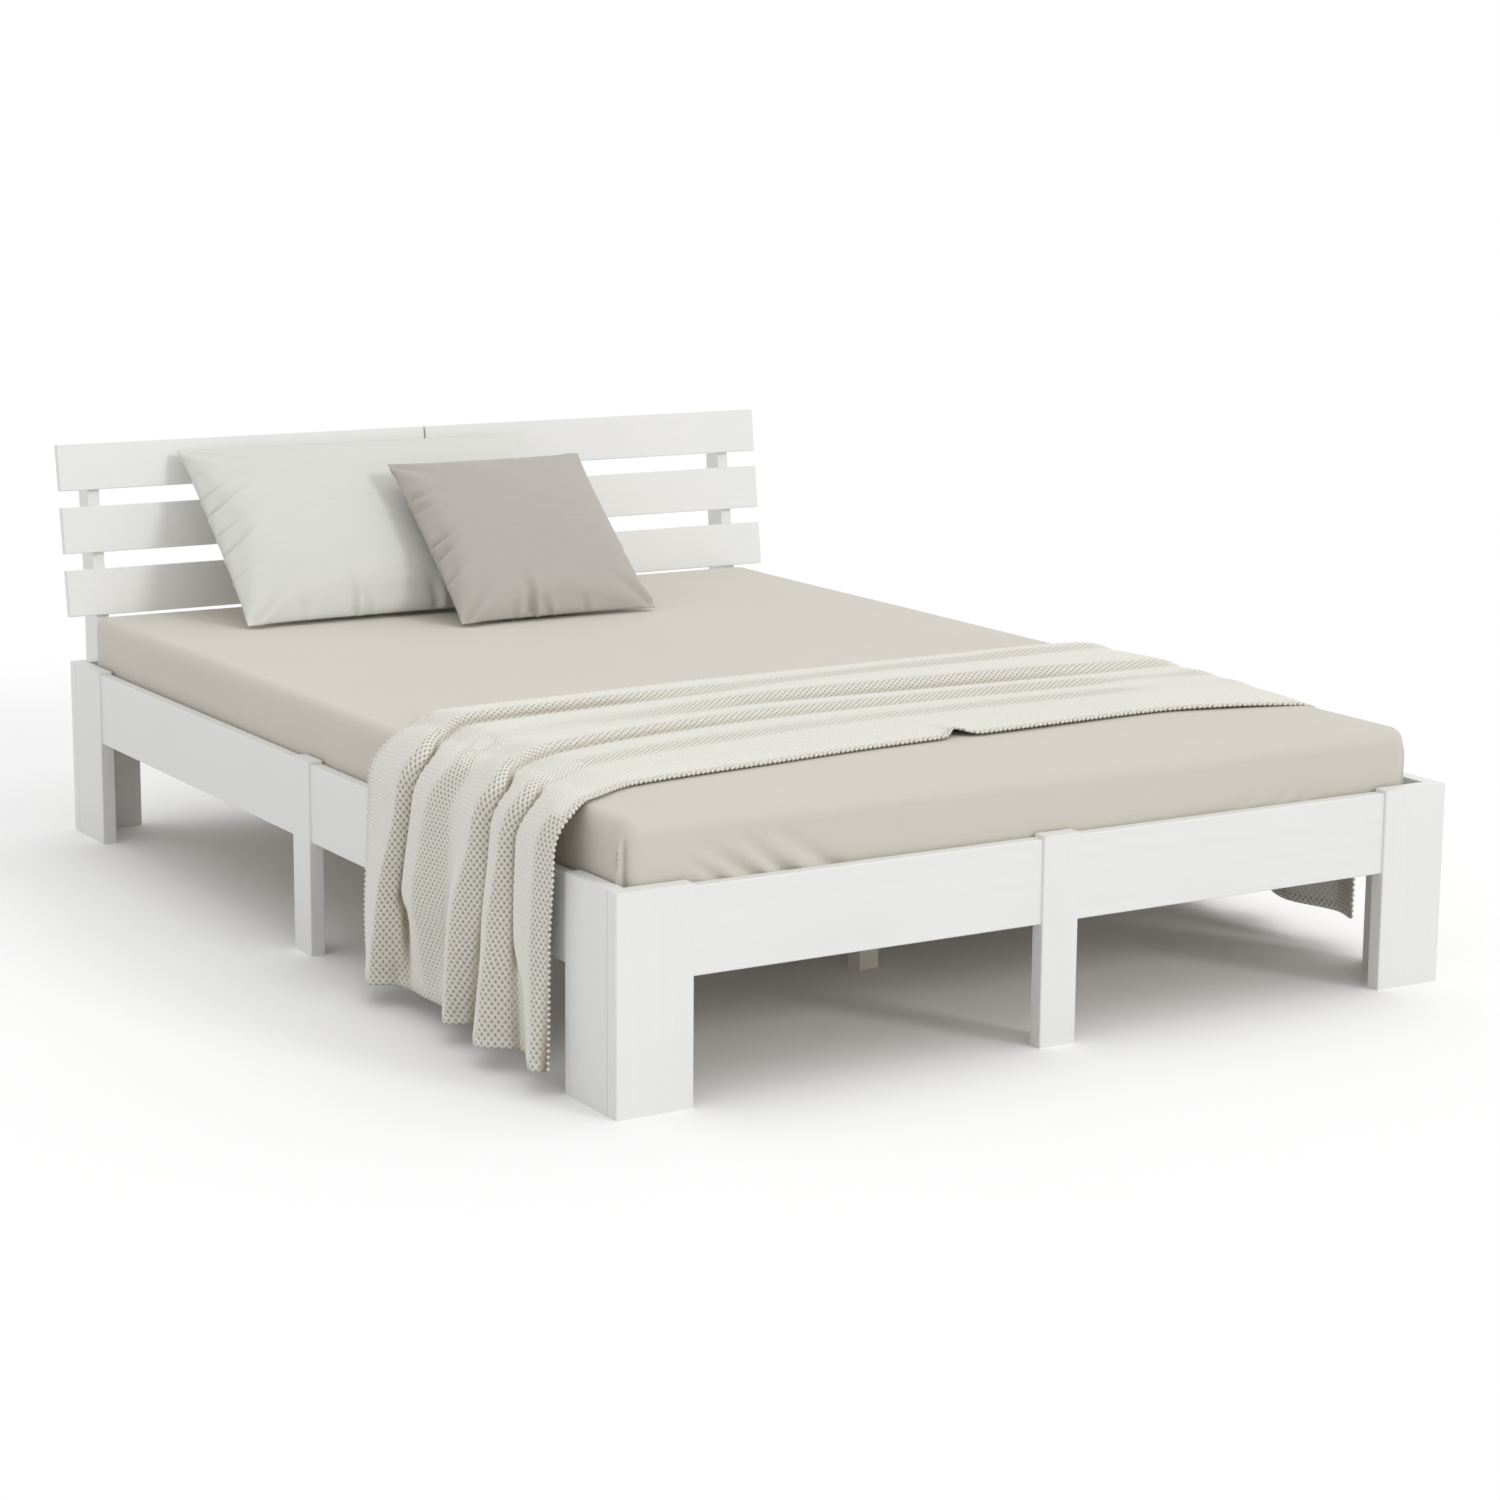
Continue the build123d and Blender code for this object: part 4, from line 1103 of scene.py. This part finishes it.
makeScrews()
makeMattress()
makeSheet()
makeCushion(pillowLook)
makeCushion(cushionLook)
makeThrow()


studioLook = {"floorSize": 90.0, "floorBounce": (0.81, 0.805, 0.815), "skyLight": 0.78}
# each lamp: name, strength, spread, height and the turn of the way its light travels
lampLooks = (("softKey", 0.64, 13.0, 24.0, 24.0), ("softTop", 0.50, 80.0, 66.0, 90.0))


def makeFloor():
    deselectAll()
    bpy.ops.mesh.primitive_circle_add(vertices=96, radius=studioLook["floorSize"], fill_type="NGON")
    floor = nameNew("studioFloor")
    material, tree, shader = newMaterial("paleFloor", (1, 1, 1), 1.0)
    shader.inputs["Specular IOR Level"].default_value = 0.0
    seen = addNode(tree, "LightPath").outputs["Is Camera Ray"]
    bounce = studioLook["floorBounce"]
    tree.links.new(mixColour(tree, seen, bounce, (1, 1, 1)), shader.inputs["Base Color"])
    dress(floor, material)


def wayOf(turn, drop):
    # the level turn from +Y and the drop below level, both in radians, as a direction
    return Vector((-math.sin(turn) * math.cos(drop), math.cos(turn) * math.cos(drop), -math.sin(drop)))


def makeLight():
    world = bpy.data.worlds.new("whiteStudio")
    bpy.context.scene.world = world
    world.use_nodes = True
    tree = world.node_tree
    light = addNode(tree, "LightPath")
    seen = doMath(tree, "MAXIMUM", light.outputs["Is Camera Ray"], light.outputs["Is Glossy Ray"])
    seen = doMath(tree, "MAXIMUM", seen, light.outputs["Is Transmission Ray"])
    background = tree.nodes["Background"]
    background.inputs["Color"].default_value = (1, 1, 1, 1)
    strength = addNode(tree, "MapRange", None, {0: seen, 3: studioLook["skyLight"], 4: 1.0})
    tree.links.new(strength.outputs[0], background.inputs["Strength"])
    for name, energy, spread, height, turn in lampLooks:
        deselectAll()
        bpy.ops.object.light_add(type="SUN", location=(0, 0, 4))
        lamp = nameNew(name)
        lamp.data.energy = energy
        lamp.data.angle = math.radians(spread)
        lamp.rotation_mode = "QUATERNION"
        lamp.rotation_quaternion = wayOf(math.radians(turn), math.radians(height)).to_track_quat("-Z", "Y")


cameraLook = {"place": (-2.8629829, -4.86375052, 1.3874828), "turn": -31.34423446, "drop": 11.31861669,
              "roll": 0.46504516, "lens": 81.959}


def makeCamera():
    turn, drop, roll = (math.radians(cameraLook[name]) for name in ("turn", "drop", "roll"))
    ahead, right = wayOf(turn, drop), Vector((math.cos(turn), math.sin(turn), 0))
    up = right.cross(ahead)
    rolledRight = math.cos(roll) * right + math.sin(roll) * up
    rolledUp = -math.sin(roll) * right + math.cos(roll) * up
    deselectAll()
    bpy.ops.object.camera_add()
    camera = bpy.context.object
    camera.name = "photoCamera"
    matrix = Matrix((rolledRight, rolledUp, -ahead)).transposed().to_4x4()
    matrix.translation = cameraLook["place"]
    camera.matrix_world = matrix
    camera.data.lens = cameraLook["lens"]
    camera.data.sensor_width = 36.0
    camera.data.clip_start, camera.data.clip_end = 0.05, 400.0
    bpy.context.scene.camera = camera


makeFloor()
makeLight()
makeCamera()
bpy.context.scene.view_settings.view_transform = "Standard"
print("studio set")
